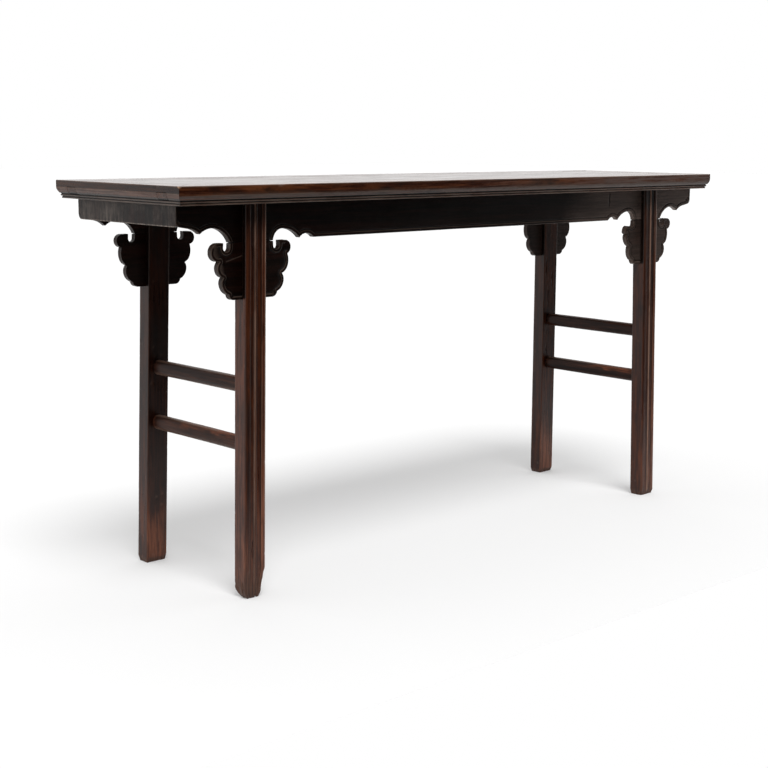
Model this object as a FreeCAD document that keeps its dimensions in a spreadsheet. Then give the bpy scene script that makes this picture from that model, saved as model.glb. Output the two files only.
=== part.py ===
import FreeCAD, Part
import os
import Sketcher
from FreeCAD import Placement, Rotation, Vector

# A Chinese recessed-leg altar table in one shared frame: millimetres, +Z up, the length along X,
# the front towards -Y, and the origin on the floor under the middle of the top.

# Driving dimensions, in millimetres.
SIZES = {
    # The top: a mitred frame round a floating panel.
    "table_height": 864,
    "top_length": 1753,
    "top_width": 446,
    "frame_thickness": 39,
    "frame_width": 78,
    "edge_undercut": 10.2,
    "edge_round": 2,
    # The through tenon of a long frame piece, measured from its outer face and from its underside.
    "corner_tenon_setback": 43,
    "corner_tenon_width": 33,
    "corner_tenon_rise": 10,
    "corner_tenon_thickness": 15.5,
    # The panel's boards, tongued into the frame all round.
    "panel_thickness": 16,
    "panel_gap": 0.4,
    "tongue_thickness": 6,
    "tongue_drop": 6,
    "tongue_reach": 8,
    "tongue_slack": 1,
    # The battens under the panel, in sliding dovetails.
    "batten_spacing": 350,
    "batten_width": 28,
    "batten_height": 20,
    "dovetail_depth": 5,
    "dovetail_root": 20,
    "dovetail_flare": 3,
    "batten_tenon_reach": 16,
    "batten_tenon_width": 18,
    "batten_tenon_thickness": 8,
    # The legs, which lean outwards towards the floor both ways.
    "leg_width": 54.5,
    "leg_depth": 38,
    "leg_end_setback": 188,
    "leg_side_setback": 34,
    "foot_spread_long": 18.3,
    "foot_spread_deep": 10.7,
    "corner_round": 4.5,
    "back_round": 2,
    "band_width": 12.5,
    "flank_run": 1,
    "field_recess": 1.3,
    "bead_width": 7,
    "bead_rise": 0.6,
    "front_cheek": 12,
    "leg_tenon_width": 34,
    "leg_tenon_thickness": 7,
    "leg_tenon_height": 20,
    # Wear at the feet: how far the end is worn in, and over what height.
    "foot_wear": 2.5,
    "foot_wear_height": 12,
    "front_left_foot_wear": 7,
    "front_left_foot_wear_height": 42,
    # The boards under the top: two long aprons, two end aprons and a spandrel through each leg.
    "board_thickness": 13.5,
    "end_board_setback": 24.5,
    "apron_depth": 76,
    "end_depth": 43,
    "end_corner_round": 6,
    "neck_drop": 78,
    "neck_half_width": 56,
    "seam_gap": 1.4,
    "seam_gap_run": 9,
    "inner_scroll_run": 166,
    "outer_scroll_run": 171,
    "spandrel_reach": 103,
    "spandrel_height": 117,
    # The rungs, two to each end frame.
    "upper_rung_height": 448,
    "lower_rung_height": 324,
    "rung_height": 34,
    "rung_width": 28,
    "rung_flat": 8,
    "rung_tenon_width": 11,
    "rung_tenon_height": 22,
    "rung_tenon_reach": 18,
    # One clearance for the ends of blind tenons and one overrun for every cut.
    "tenon_end_gap": 1,
    "overrun": 5,
}

# How far along a quarter round its middle lies from either end, as a share of the radius.
QUARTER_SHARE = 1 - 0.5 ** 0.5

# The moulded edge from the end of the upright face down to the underside: each row is a point of the
# profile as shares of the undercut and of the frame's thickness, arcs with their middle point first.
EDGE_SHARES = (
    ((0.00, 0.31),),
    ((0.04, 0.38), (0.14, 0.445)),
    ((0.57, 0.715),),
    ((0.74, 0.755), (0.64, 0.795)),
    ((0.70, 0.865), (0.88, 0.915)),
    ((0.96, 0.93), (0.90, 0.95)),
    ((0.90, 0.975), (1.00, 1.00)),
)

# The cloud scroll of the long apron's lower edge, from the neck at a leg outwards: shares of the
# scroll's run beyond the neck and of the apron's depth, each arc as its middle and its end.
INNER_SCROLL_SHARES = (
    ((0.060, 0.822), (0.266, 0.724)),
    ((0.468, 0.796), (0.646, 0.995)),
    ((0.800, 0.882), (1.000, 1.000)),
)
OUTER_SCROLL_SHARES = (
    ((0.120, 0.783), (0.368, 0.625)),
    ((0.510, 0.658), (0.646, 0.770)),
    ((0.750, 0.665), (0.880, 0.610)),
)

# Half of a spandrel's outline from the foot of the gap beside its neck round to its underside: shares
# of its reach and of its height.
GAP_SHARES = ((0.547, 0.080), (0.627, 0.158), (0.709, 0.080))
EAR_TOP_SHARES = ((0.702, 0.002), (0.845, 0.002))
LOBE_SHARES = (
    ((1.000, 0.128), (0.876, 0.250)),
    ((0.895, 0.342), (0.880, 0.455)),
    ((0.845, 0.522), (0.738, 0.591)),
    ((0.778, 0.665), (0.777, 0.738)),
    ((0.722, 0.838), (0.612, 0.906)),
    ((0.582, 0.962), (0.490, 1.000)),
)
# The worn top of one broken ear, from the ear's foot to the gap beside the neck: its middle and its end.
BROKEN_EAR_SHARES = ((0.850, 0.130), (0.660, 0.135))

# The battens' places about the middle of the top, as shares of the spacing between them.
BATTEN_SHARES = (-1.5, -0.5, 0.5, 1.5)

# Places worked out from the driving dimensions, as expressions of the sheet.
STAND = "(sizes.table_height - sizes.frame_thickness)"
HALF_LENGTH = "(sizes.top_length / 2)"
HALF_WIDTH = "(sizes.top_width / 2)"
LEG_X = "(sizes.top_length / 2 - sizes.leg_end_setback - sizes.leg_width / 2)"
SLOT_DEPTH = "(sizes.neck_drop + sizes.spandrel_height)"
SPANDREL_MIDDLE = "(sizes.neck_drop + sizes.spandrel_height / 2)"
SCROLL_X = f"({LEG_X} + sizes.foot_spread_long * {SPANDREL_MIDDLE} / {STAND})"
LEG_FACE = "(sizes.front_cheek + sizes.board_thickness / 2)"
LEG_BACK = "(sizes.leg_depth - sizes.front_cheek - sizes.board_thickness / 2)"
BOARD_FACE = "(sizes.top_width / 2 - sizes.leg_side_setback - sizes.front_cheek)"
BOARD_Y = f"({BOARD_FACE} - sizes.board_thickness / 2)"
END_X = "(sizes.top_length / 2 - sizes.end_board_setback)"
OPENING_LENGTH = "(sizes.top_length - 2 * sizes.frame_width)"
OPENING_WIDTH = "(sizes.top_width - 2 * sizes.frame_width)"
TONGUE_REACH = "(sizes.tongue_reach - sizes.tongue_slack)"
BATTEN_TOP = "(sizes.frame_thickness - sizes.panel_thickness)"

doc = FreeCAD.newDocument("altar_table")
sheet = doc.addObject("Spreadsheet::Sheet", "sizes")
for row, (name, value) in enumerate(SIZES.items(), start=1):
    sheet.set(f"A{row}", name)
    sheet.set(f"B{row}", str(value))
    sheet.setAlias(f"B{row}", name)
doc.recompute()


def evaluate(sketch, x, y):
    """The place that two expressions give with the sheet as it stands."""
    return Vector(float(sketch.evalExpression(x)), float(sketch.evalExpression(y)), 0)


def pin(sketch, edge, end, place):
    """Tie one point of an edge to a place worked out from the sheet."""
    for kind, text in zip(("DistanceX", "DistanceY"), place):
        value = float(sketch.evalExpression(text))
        index = sketch.addConstraint(Sketcher.Constraint(kind, -1, 1, edge, end, value))
        sketch.setExpression(f"Constraints[{index}]", text)


def add_arc(sketch, start, middle, end):
    """Add an arc through three tied places; says which of its ends is the start."""
    points = [evaluate(sketch, *place) for place in (start, middle, end)]
    turns_left = (points[1] - points[0]).cross(points[2] - points[0]).z > 0
    ordered = points if turns_left else points[::-1]
    arc = sketch.addGeometry(Part.Arc(*ordered))
    mark = sketch.addGeometry(Part.Point(points[1]), True)
    pin(sketch, mark, 1, middle)
    sketch.addConstraint(Sketcher.Constraint("PointOnObject", mark, 1, arc))
    return (arc, 1, 2) if turns_left else (arc, 2, 1)


def trace(sketch, outline):
    """Draw one closed outline: a step of one place is a line to it, a step of two is an arc."""
    start = outline[0]
    steps = [step if isinstance(step[0], tuple) else (step,) for step in outline[1:]]
    if steps[-1][-1] != start:
        steps.append((start,))
    edges = []
    here = start
    for step in steps:
        if len(step) == 1:
            line = Part.LineSegment(evaluate(sketch, *here), evaluate(sketch, *step[0]))
            edges.append((sketch.addGeometry(line), 1, 2))
        else:
            edges.append(add_arc(sketch, here, *step))
        pin(sketch, edges[-1][0], edges[-1][1], here)
        here = step[-1]
    for before, after in zip(edges, edges[1:] + edges[:1]):
        joint = Sketcher.Constraint("Coincident", before[0], before[2], after[0], after[1])
        sketch.addConstraint(joint)


def draw(body, name, plane, outlines, offset=None):
    """Make a sketch on one of the body's own planes, moved along the plane's normal if asked."""
    sketch = body.newObject("Sketcher::SketchObject", name)
    support = [face for face in body.Origin.OriginFeatures if face.Role == plane][0]
    sketch.AttachmentSupport = [(support, "")]
    sketch.MapMode = "FlatFace"
    if offset:
        sketch.setExpression("AttachmentOffset.Base.z", offset)
    for outline in outlines:
        trace(sketch, outline)
    return sketch


def pad(body, name, plane, outlines, length, symmetric=True, offset=None):
    """Add material: the outlines carried along the plane's normal."""
    feature = body.newObject("PartDesign::Pad", name)
    feature.Profile = draw(body, f"{name}_sketch", plane, outlines, offset)
    feature.setExpression("Length", length)
    feature.SideType = "Symmetric" if symmetric else "One side"
    body.Tip = feature
    return feature


def pocket(body, name, plane, outlines, length=None, upwards=None, offset=None):
    """Cut material: right through, or to a length about the plane, or to a length on one side."""
    feature = body.newObject("PartDesign::Pocket", name)
    feature.Profile = draw(body, f"{name}_sketch", plane, outlines, offset)
    feature.Type = "Length" if length else "ThroughAll"
    if length:
        feature.setExpression("Length", length)
    feature.SideType = "Symmetric" if upwards is None else "One side"
    feature.Reversed = bool(upwards)
    body.Tip = feature
    return feature


def new_body(label, x="0", y="0", z="0", turn=0):
    """Start a sub-part at a place worked out from the sheet, turned about +Z by whole degrees."""
    body = doc.addObject("PartDesign::Body", label)
    body.Label = label
    body.Placement = Placement(Vector(), Rotation(Vector(0, 0, 1), turn))
    for axis, text in (("x", x), ("y", y), ("z", z)):
        body.setExpression(f".Placement.Base.{axis}", text)
    return body


def box(x_low, x_high, y_low, y_high):
    """A rectangle as an outline."""
    return [(x_low, y_low), (x_high, y_low), (x_high, y_high), (x_low, y_high)]


def mirrored(outline):
    """The same outline on the other side of the upright axis, with its steps in the same order."""
    def flip(place):
        return (f"-({place[0]})", place[1])

    return [tuple(flip(q) for q in p) if isinstance(p[0], tuple) else flip(p) for p in outline]


def edge_steps(face, inwards):
    """The moulded edge as outline steps, from its upright face down and inwards along the given sign."""

    def at(inward, down):
        x = f"{face} + {inwards} * sizes.edge_undercut * {inward}"
        return (x, f"sizes.frame_thickness - sizes.frame_thickness * {down}")

    return [tuple(at(*place) for place in row) for row in EDGE_SHARES]


def frame_section():
    """Section of a frame member: y from the outer face inwards, z from the underside up."""
    top = "sizes.frame_thickness"
    groove_top = "(sizes.frame_thickness - sizes.tongue_drop)"
    groove_foot = f"({groove_top} - sizes.tongue_thickness)"
    groove_end = "(sizes.frame_width - sizes.tongue_reach)"
    rounding = f"sizes.edge_round * {QUARTER_SHARE}"
    return [
        ("sizes.edge_undercut", "0"),
        ("sizes.frame_width", "0"),
        ("sizes.frame_width", groove_foot),
        (groove_end, groove_foot),
        (groove_end, groove_top),
        ("sizes.frame_width", groove_top),
        ("sizes.frame_width", top),
        ("sizes.edge_round", top),
        ((rounding, f"{top} - {rounding}"), ("0", f"{top} - sizes.edge_round")),
    ] + close_on(edge_steps("0", 1), ("sizes.edge_undercut", "0"))


def close_on(steps, start):
    """The steps with their last place written just as the outline's start, so that the outline closes."""
    return steps[:-1] + [(steps[-1][0], start)]


def frame_member(label, length, turn, x, y):
    """One member of the top frame: the moulded section, mitred at both ends."""
    body = new_body(label, x, y, STAND, turn)
    pad(body, f"{label}_blank", "YZ_Plane", [frame_section()], length)
    half = f"({length} / 2)"
    past = "(sizes.frame_width + sizes.overrun)"
    mitre = [
        (f"{half} + sizes.overrun", "-sizes.overrun"),
        (f"{half} + sizes.overrun", past),
        (f"{half} - {past}", past),
    ]
    pocket(body, f"{label}_mitres", "XY_Plane", [mitre, mirrored(mitre)])
    return body


def corner_tenon(near, far):
    """A long frame piece's through tenon, seen along it: between two places, up from the underside."""
    top = "sizes.corner_tenon_rise + sizes.corner_tenon_thickness"
    return box(near, far, "sizes.corner_tenon_rise", top)


def make_stile(label, turn, side):
    """A long frame piece: through tenons at both ends, mortises for the legs and for the battens."""
    body = frame_member(label, "sizes.top_length", turn, "0", f"{side} * {HALF_WIDTH}")
    setback = "sizes.corner_tenon_setback"
    tenon = corner_tenon(setback, f"{setback} + sizes.corner_tenon_width")
    pad(body, f"{label}_tenons", "YZ_Plane", [tenon], "sizes.top_length")
    # The tenon's end is cut flush with the moulded edge of the end rail.
    past = f"{HALF_LENGTH} + sizes.overrun"
    edge = [(HALF_LENGTH, "sizes.frame_thickness")] + edge_steps(HALF_LENGTH, -1)
    edge += [(past, "0"), (past, "sizes.frame_thickness")]
    pocket(
        body,
        f"{label}_tenon_ends",
        "XZ_Plane",
        [edge, mirrored(edge)],
        "sizes.corner_tenon_width + 2 * sizes.overrun",
        offset=f"-({setback} + sizes.corner_tenon_width / 2)",
    )
    # Two mortises over each leg, one for the tenon on each cheek.
    mortises = []
    for cheek in leg_tenons():
        shifted = [(f"{LEG_X} + {across}", f"{HALF_WIDTH} - {BOARD_Y} + {deep}") for across, deep in cheek]
        mortises += [shifted, mirrored(shifted)]
    depth = "sizes.leg_tenon_height + sizes.tenon_end_gap"
    pocket(body, f"{label}_leg_mortises", "XY_Plane", mortises, depth, upwards=True)
    pocket(
        body,
        f"{label}_batten_mortises",
        "XZ_Plane",
        [batten_tenon(place) for place in batten_places()],
        "2 * (sizes.batten_tenon_reach + sizes.tenon_end_gap)",
        offset="-sizes.frame_width",
    )


def make_rail(label, turn, side):
    """A short frame piece: mitred, with a mortise right through it for each long piece's tenon."""
    body = frame_member(label, "sizes.top_width", turn, f"{side} * {HALF_LENGTH}", "0")
    near = f"({HALF_WIDTH} - sizes.corner_tenon_setback)"
    hole = corner_tenon(f"{near} - sizes.corner_tenon_width", near)
    pocket(body, f"{label}_mortises", "XZ_Plane", [hole, mirrored(hole)])


def batten_places():
    """The battens' places along the top, evenly spaced about its middle."""
    return [f"sizes.batten_spacing * {share}" for share in BATTEN_SHARES]


def batten_tenon(place):
    """A batten's tenon seen along the batten."""
    half = "sizes.batten_tenon_width / 2"
    low = f"{BATTEN_TOP} - sizes.batten_height / 2 - sizes.batten_tenon_thickness / 2"
    return box(f"{place} - {half}", f"{place} + {half}", low, f"{low} + sizes.batten_tenon_thickness")


def dovetail(place, foot):
    """A dovetail seen along a batten, from the given height up to its wide end inside the panel."""
    root = "sizes.dovetail_root / 2"
    head = f"{root} + sizes.dovetail_flare"
    top = f"{BATTEN_TOP} + sizes.dovetail_depth"
    return [
        (f"{place} - {root}", foot),
        (f"{place} + {root}", foot),
        (f"{place} + {root}", BATTEN_TOP),
        (f"{place} + {head}", top),
        (f"{place} - ({head})", top),
        (f"{place} - {root}", BATTEN_TOP),
    ]


def make_panel_board(label, side):
    """Half of the floating panel: tongued along its outer edge and both ends, grooved for the battens."""
    body = new_body(label, "0", "0", STAND)
    top = "sizes.frame_thickness"
    under = BATTEN_TOP
    tongue_top = "(sizes.frame_thickness - sizes.tongue_drop)"
    tongue_foot = f"({tongue_top} - sizes.tongue_thickness)"
    edge = f"({OPENING_WIDTH} / 2 - sizes.panel_gap)"
    tongue_end = f"({OPENING_WIDTH} / 2 + {TONGUE_REACH})"
    section = [
        ("0", under),
        (edge, under),
        (edge, tongue_foot),
        (tongue_end, tongue_foot),
        (tongue_end, tongue_top),
        (edge, tongue_top),
        (edge, top),
        ("0", top),
    ]
    if side < 0:
        section = mirrored(section)
    pad(body, f"{label}_blank", "YZ_Plane", [section], f"{OPENING_LENGTH} + 2 * {TONGUE_REACH}")
    end = f"({OPENING_LENGTH} / 2 - sizes.panel_gap)"
    past = f"{OPENING_LENGTH} / 2 + sizes.tongue_reach + sizes.overrun"
    over_tongue = box(end, past, tongue_top, f"{top} + sizes.overrun")
    under_tongue = box(end, past, f"{under} - sizes.overrun", tongue_foot)
    rebates = [over_tongue, mirrored(over_tongue), under_tongue, mirrored(under_tongue)]
    pocket(body, f"{label}_end_tongues", "XZ_Plane", rebates)
    grooves = [dovetail(place, f"{under} - sizes.overrun") for place in batten_places()]
    pocket(body, f"{label}_dovetails", "XZ_Plane", grooves)


def make_batten(label, place):
    """A batten across the underside of the panel, dovetailed into it and tenoned into the long pieces."""
    body = new_body(label, place, "0", STAND)
    half = "sizes.batten_width / 2"
    foot = f"{BATTEN_TOP} - sizes.batten_height"
    pad(body, f"{label}_bar", "XZ_Plane", [box(f"-{half}", half, foot, BATTEN_TOP)], OPENING_WIDTH)
    pad(body, f"{label}_dovetail", "XZ_Plane", [dovetail("0", foot)], OPENING_WIDTH)
    length = f"{OPENING_WIDTH} + 2 * sizes.batten_tenon_reach"
    pad(body, f"{label}_tenons", "XZ_Plane", [batten_tenon("0")], length)


def leg_tenons():
    """The two tenons on a leg's cheeks, seen from above, about the middle of the slot."""
    half = "sizes.leg_tenon_width / 2"
    slot = "sizes.board_thickness / 2"
    outlines = []
    for low, high in ((f"-{LEG_FACE}", f"-{slot}"), (slot, LEG_BACK)):
        middle = f"({low} + {high}) / 2"
        low_side = f"{middle} - sizes.leg_tenon_thickness / 2"
        high_side = f"{middle} + sizes.leg_tenon_thickness / 2"
        outlines.append(box(f"-{half}", half, low_side, high_side))
    return outlines


def leg_section():
    """A leg's section: plain sides and back, and a face with a middle bead between two raised bands."""
    half = "sizes.leg_width / 2"
    back_turn = f"sizes.back_round * {QUARTER_SHARE}"
    face_turn = f"sizes.corner_round * {QUARTER_SHARE}"
    band = f"({half} - sizes.band_width)"
    field = f"-{LEG_FACE} + sizes.field_recess"
    right = [
        ((f"{half} - {back_turn}", f"{LEG_BACK} - {back_turn}"), (half, f"{LEG_BACK} - sizes.back_round")),
        (half, f"-{LEG_FACE} + sizes.corner_round"),
        (
            (f"{half} - {face_turn}", f"-{LEG_FACE} + {face_turn}"),
            (f"{half} - sizes.corner_round", f"-{LEG_FACE}"),
        ),
        (band, f"-{LEG_FACE}"),
        (f"{band} - sizes.flank_run", field),
        ("sizes.bead_width / 2", field),
    ]
    bead = (("0", f"-{LEG_FACE} - sizes.bead_rise"), ("-sizes.bead_width / 2", field))
    left = [
        (f"-({band} - sizes.flank_run)", field),
        (f"-{band}", f"-{LEG_FACE}"),
        (f"-({half} - sizes.corner_round)", f"-{LEG_FACE}"),
        (
            (f"-({half} - {face_turn})", f"-{LEG_FACE} + {face_turn}"),
            (f"-{half}", f"-{LEG_FACE} + sizes.corner_round"),
        ),
        (f"-{half}", f"{LEG_BACK} - sizes.back_round"),
        (
            (f"-({half} - {back_turn})", f"{LEG_BACK} - {back_turn}"),
            (f"-({half} - sizes.back_round)", LEG_BACK),
        ),
    ]
    back = [(f"-({half} - sizes.back_round)", LEG_BACK), (f"{half} - sizes.back_round", LEG_BACK)]
    return back + right + [bead] + left


def lean(spread, drop):
    """How far a leg has moved outwards at a depth below the top frame."""
    return f"({spread} * ({drop}) / {STAND})"


def foot_wedge(low_face, high_face, inwards, wear, height):
    """The sliver worn off one side of a foot, seen from the front or the side."""
    out = f"{-inwards} * sizes.overrun"
    return [
        (high_face, f"-{STAND} + {height}"),
        (f"{low_face} + {inwards} * {wear}", f"-{STAND}"),
        (f"{low_face} + {out}", f"-{STAND}"),
        (f"{high_face} + {out}", f"-{STAND} + {height}"),
    ]


def make_leg(label, x_side, y_side, wear, height):
    """A leg: leaning, slotted for the apron and spandrel, with two tenons, worn foot and rung mortises."""
    body = new_body(label, f"{x_side} * {LEG_X}", f"{y_side} * {BOARD_Y}", STAND, 0 if y_side < 0 else 180)
    # Seen in the leg's own frame, whose face looks to -Y, the table's end is on this side.
    outward = x_side if y_side < 0 else -x_side
    shaft = pad(body, f"{label}_shaft", "XY_Plane", [leg_section()], STAND, symmetric=False)
    shaft.UseCustomVector = True
    shaft.setExpression("Direction.x", f"{-outward} * sizes.foot_spread_long")
    shaft.setExpression("Direction.y", "sizes.foot_spread_deep")
    shaft.setExpression("Direction.z", STAND)
    shaft.AlongSketchNormal = True
    shaft.Reversed = True
    slot = box("-sizes.board_thickness / 2", "sizes.board_thickness / 2", f"-{SLOT_DEPTH}", "sizes.overrun")
    pocket(body, f"{label}_slot", "YZ_Plane", [slot])
    pad(body, f"{label}_tenons", "XY_Plane", leg_tenons(), "sizes.leg_tenon_height", symmetric=False)
    for rung in ("upper", "lower"):
        drop = f"({STAND} - sizes.{rung}_rung_height)"
        place = f"{outward} * {lean('sizes.foot_spread_long', drop)}"
        inner = f"({LEG_BACK} - {lean('sizes.foot_spread_deep', drop)})"
        mortise = box(
            f"{inner} - sizes.rung_tenon_reach - sizes.tenon_end_gap",
            f"{inner} + sizes.overrun",
            f"-{drop} - sizes.rung_tenon_height / 2",
            f"-{drop} + sizes.rung_tenon_height / 2",
        )
        pocket(body, f"{label}_{rung}_mortise", "YZ_Plane", [mortise], "sizes.rung_tenon_width", offset=place)
    long_low = f"{outward} * sizes.foot_spread_long"
    long_high = f"{outward} * {lean('sizes.foot_spread_long', f'{STAND} - {height}')}"
    half = "sizes.leg_width / 2"
    sides = [
        foot_wedge(f"{long_low} + {side} * {half}", f"{long_high} + {side} * {half}", -side, wear, height)
        for side in (-1, 1)
    ]
    across = "2 * (sizes.leg_depth + sizes.foot_spread_deep + sizes.overrun)"
    pocket(body, f"{label}_worn_sides", "XZ_Plane", sides, across)
    deep_high = lean("sizes.foot_spread_deep", f"{STAND} - {height}")
    faces = [
        foot_wedge(f"{edge} - sizes.foot_spread_deep", f"{edge} - {deep_high}", inwards, wear, height)
        for edge, inwards in ((f"-{LEG_FACE}", 1), (LEG_BACK, -1))
    ]
    across = "2 * (sizes.leg_width + sizes.foot_spread_long + sizes.overrun)"
    pocket(body, f"{label}_worn_faces", "YZ_Plane", faces, across)


def scroll_steps(shares, run, side):
    """One cloud scroll of an apron's lower edge, from the neck at a leg away from it, as outline steps."""

    def at(along, down):
        x = f"sizes.neck_half_width + ({run} - sizes.neck_half_width) * {along}"
        return (f"{SCROLL_X} + {side} * ({x})", f"-sizes.apron_depth * {down}")

    return [tuple(at(*place) for place in row) for row in shares]


def backwards(start, steps):
    """The same steps walked from their end to the given start."""
    places = [start] + [step[-1] for step in steps]
    turned = []
    for index in range(len(steps) - 1, -1, -1):
        turned.append(steps[index][:-1] + (places[index],))
    return turned


def corner_turn(half, depth, side):
    """The round lower corner at an end of a board, as its two ends and its middle."""
    turn = f"sizes.end_corner_round * {QUARTER_SHARE}"
    level = (f"{side} * ({half} - sizes.end_corner_round)", f"-{depth}")
    middle = (f"{side} * ({half} - {turn})", f"-{depth} + {turn}")
    upright = (f"{side} * {half}", f"-{depth} + sizes.end_corner_round")
    return level, middle, upright


def board_mitres(half):
    """The mitres at both ends of a board under the top, seen from above."""
    outer = "sizes.board_thickness / 2"
    mitre = [
        (f"{half} + sizes.overrun", f"-({outer}) - sizes.overrun"),
        (f"{half} + sizes.overrun", f"{outer} + sizes.overrun"),
        (f"{half} - sizes.board_thickness - sizes.overrun", f"{outer} + sizes.overrun"),
    ]
    return [mitre, mirrored(mitre)]


def make_apron(label, turn, side):
    """A long apron: one board from end to end, scrolled beside each leg, with its neck on the spandrel."""
    body = new_body(label, "0", f"{side} * {BOARD_Y}", STAND, turn)
    inner_neck = (f"{SCROLL_X} - sizes.neck_half_width", "-sizes.neck_drop")
    outer_neck = (f"{SCROLL_X} + sizes.neck_half_width", "-sizes.neck_drop")
    inner = scroll_steps(INNER_SCROLL_SHARES, "sizes.inner_scroll_run", -1)
    outer = scroll_steps(OUTER_SCROLL_SHARES, "sizes.outer_scroll_run", 1)
    level, middle, upright = corner_turn(END_X, "sizes.end_depth", 1)
    # The lower edge's right half from the middle outwards, up that end, and down the other end again.
    right = [inner[-1][-1]] + backwards(inner_neck, inner) + [outer_neck] + outer
    right += [level, (middle, upright), (END_X, "0")]
    left = [(END_X, "0"), upright, (middle, level)] + backwards(outer_neck, outer) + [inner_neck] + inner
    pad(body, f"{label}_board", "XZ_Plane", [right + mirrored(left)], "sizes.board_thickness")
    pocket(body, f"{label}_mitres", "XY_Plane", board_mitres(END_X))


def make_end_apron(label, turn, side):
    """A short apron across one end, mitred to the long ones."""
    body = new_body(label, f"{side} * ({END_X} - sizes.board_thickness / 2)", "0", STAND, turn)
    level, middle, upright = corner_turn(BOARD_FACE, "sizes.end_depth", 1)
    right = [(BOARD_FACE, "0"), upright, (middle, level)]
    left = mirrored([level, (middle, upright), (BOARD_FACE, "0")])
    pad(body, f"{label}_board", "XZ_Plane", [right + left], "sizes.board_thickness")
    pocket(body, f"{label}_mitres", "XY_Plane", board_mitres(BOARD_FACE))


def make_spandrel(label, x_side, y_side, turn):
    """A cloud-shaped spandrel: one board through the leg's slot, an ear and two lobes each side."""
    seam_z = f"{STAND} - sizes.neck_drop"
    body = new_body(label, f"{x_side} * {SCROLL_X}", f"{y_side} * {BOARD_Y}", seam_z, turn)

    def at(along, down):
        return (f"sizes.spandrel_reach * {along}", f"-sizes.spandrel_height * {down}")

    seam = [("sizes.neck_half_width - sizes.seam_gap_run", "0"), ("sizes.neck_half_width", "-sizes.seam_gap")]
    gap_top, gap_foot, gap_side = [at(*place) for place in GAP_SHARES]
    ear_start, ear_end = [at(*place) for place in EAR_TOP_SHARES]
    lobes = [tuple(at(*place) for place in row) for row in LOBE_SHARES]
    right = seam + [gap_top, (gap_foot, gap_side), ear_start, ear_end] + lobes
    left = [lobes[-1][-1]] + backwards(ear_end, lobes) + [ear_start, gap_side, (gap_foot, gap_top)]
    pad(body, f"{label}_board", "XZ_Plane", [right + mirrored(left + seam[::-1])], "sizes.board_thickness")
    if y_side < 0 and x_side > 0:
        # This one's inner ear has lost its top.
        foot = lobes[0][-1]
        crest, notch = [at(*place) for place in BROKEN_EAR_SHARES]
        past = "sizes.spandrel_reach + sizes.overrun"
        above = [(notch[0], "sizes.overrun"), (past, "sizes.overrun"), (past, foot[1])]
        pocket(body, f"{label}_broken_ear", "XZ_Plane", [mirrored([foot, (crest, notch)] + above)])


def make_rung(label, side, height):
    """An oval rung between the two legs of one end, its shoulders cut to the legs' lean."""
    drop = f"({STAND} - {height})"
    place = f"{side} * ({LEG_X} + {lean('sizes.foot_spread_long', drop)})"
    body = new_body(label, place, "0", height)
    flat = "sizes.rung_flat / 2"
    half_width = "sizes.rung_width / 2"
    half_height = "sizes.rung_height / 2"
    oval = [
        (f"-{half_width}", f"-{flat}"),
        (("0", f"-{half_height}"), (half_width, f"-{flat}")),
        (half_width, flat),
        (("0", half_height), (f"-{half_width}", flat)),
    ]
    inner = f"({BOARD_Y} - {LEG_BACK})"
    rise = f"({half_height} + sizes.overrun)"
    low = f"({inner} + {lean('sizes.foot_spread_deep', f'{drop} + {rise}')})"
    high = f"({inner} + {lean('sizes.foot_spread_deep', f'{drop} - {rise}')})"
    past = f"{low} + 2 * sizes.overrun"
    pad(body, f"{label}_bar", "XZ_Plane", [oval], f"2 * ({low} + sizes.overrun)")
    shoulder = [(low, f"-{rise}"), (past, f"-{rise}"), (past, rise), (high, rise)]
    pocket(body, f"{label}_shoulders", "YZ_Plane", [shoulder, mirrored(shoulder)])
    reach = f"({inner} + {lean('sizes.foot_spread_deep', drop)} + sizes.rung_tenon_reach)"
    tenon = box(f"-{reach}", reach, "-sizes.rung_tenon_height / 2", "sizes.rung_tenon_height / 2")
    pad(body, f"{label}_tenons", "YZ_Plane", [tenon], "sizes.rung_tenon_width")


# The top.
make_stile("top_frame_front_stile", 0, -1)
make_stile("top_frame_back_stile", 180, 1)
make_rail("top_frame_right_end_rail", 90, 1)
make_rail("top_frame_left_end_rail", -90, -1)
make_panel_board("top_panel_front_board", -1)
make_panel_board("top_panel_back_board", 1)
for number, place in enumerate(batten_places(), start=1):
    make_batten(f"panel_batten_{number}", place)

# The legs, and the boards that they clasp.
for y_side, y_word in ((-1, "front"), (1, "back")):
    turn = 0 if y_side < 0 else 180
    make_apron(f"{y_word}_apron", turn, y_side)
    for x_side, x_word in ((-1, "left"), (1, "right")):
        worst = y_side < 0 and x_side < 0
        worn = "sizes.front_left_foot_wear" if worst else "sizes.foot_wear"
        make_leg(f"{y_word}_{x_word}_leg", x_side, y_side, worn, f"{worn}_height")
        make_spandrel(f"{y_word}_{x_word}_spandrel", x_side, y_side, turn)

# The end frames.
for side, word in ((-1, "left"), (1, "right")):
    make_end_apron(f"{word}_end_apron", 90 if side > 0 else -90, side)
    for level in ("upper", "lower"):
        make_rung(f"{word}_{level}_rung", side, f"sizes.{level}_rung_height")

doc.recompute()

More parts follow.
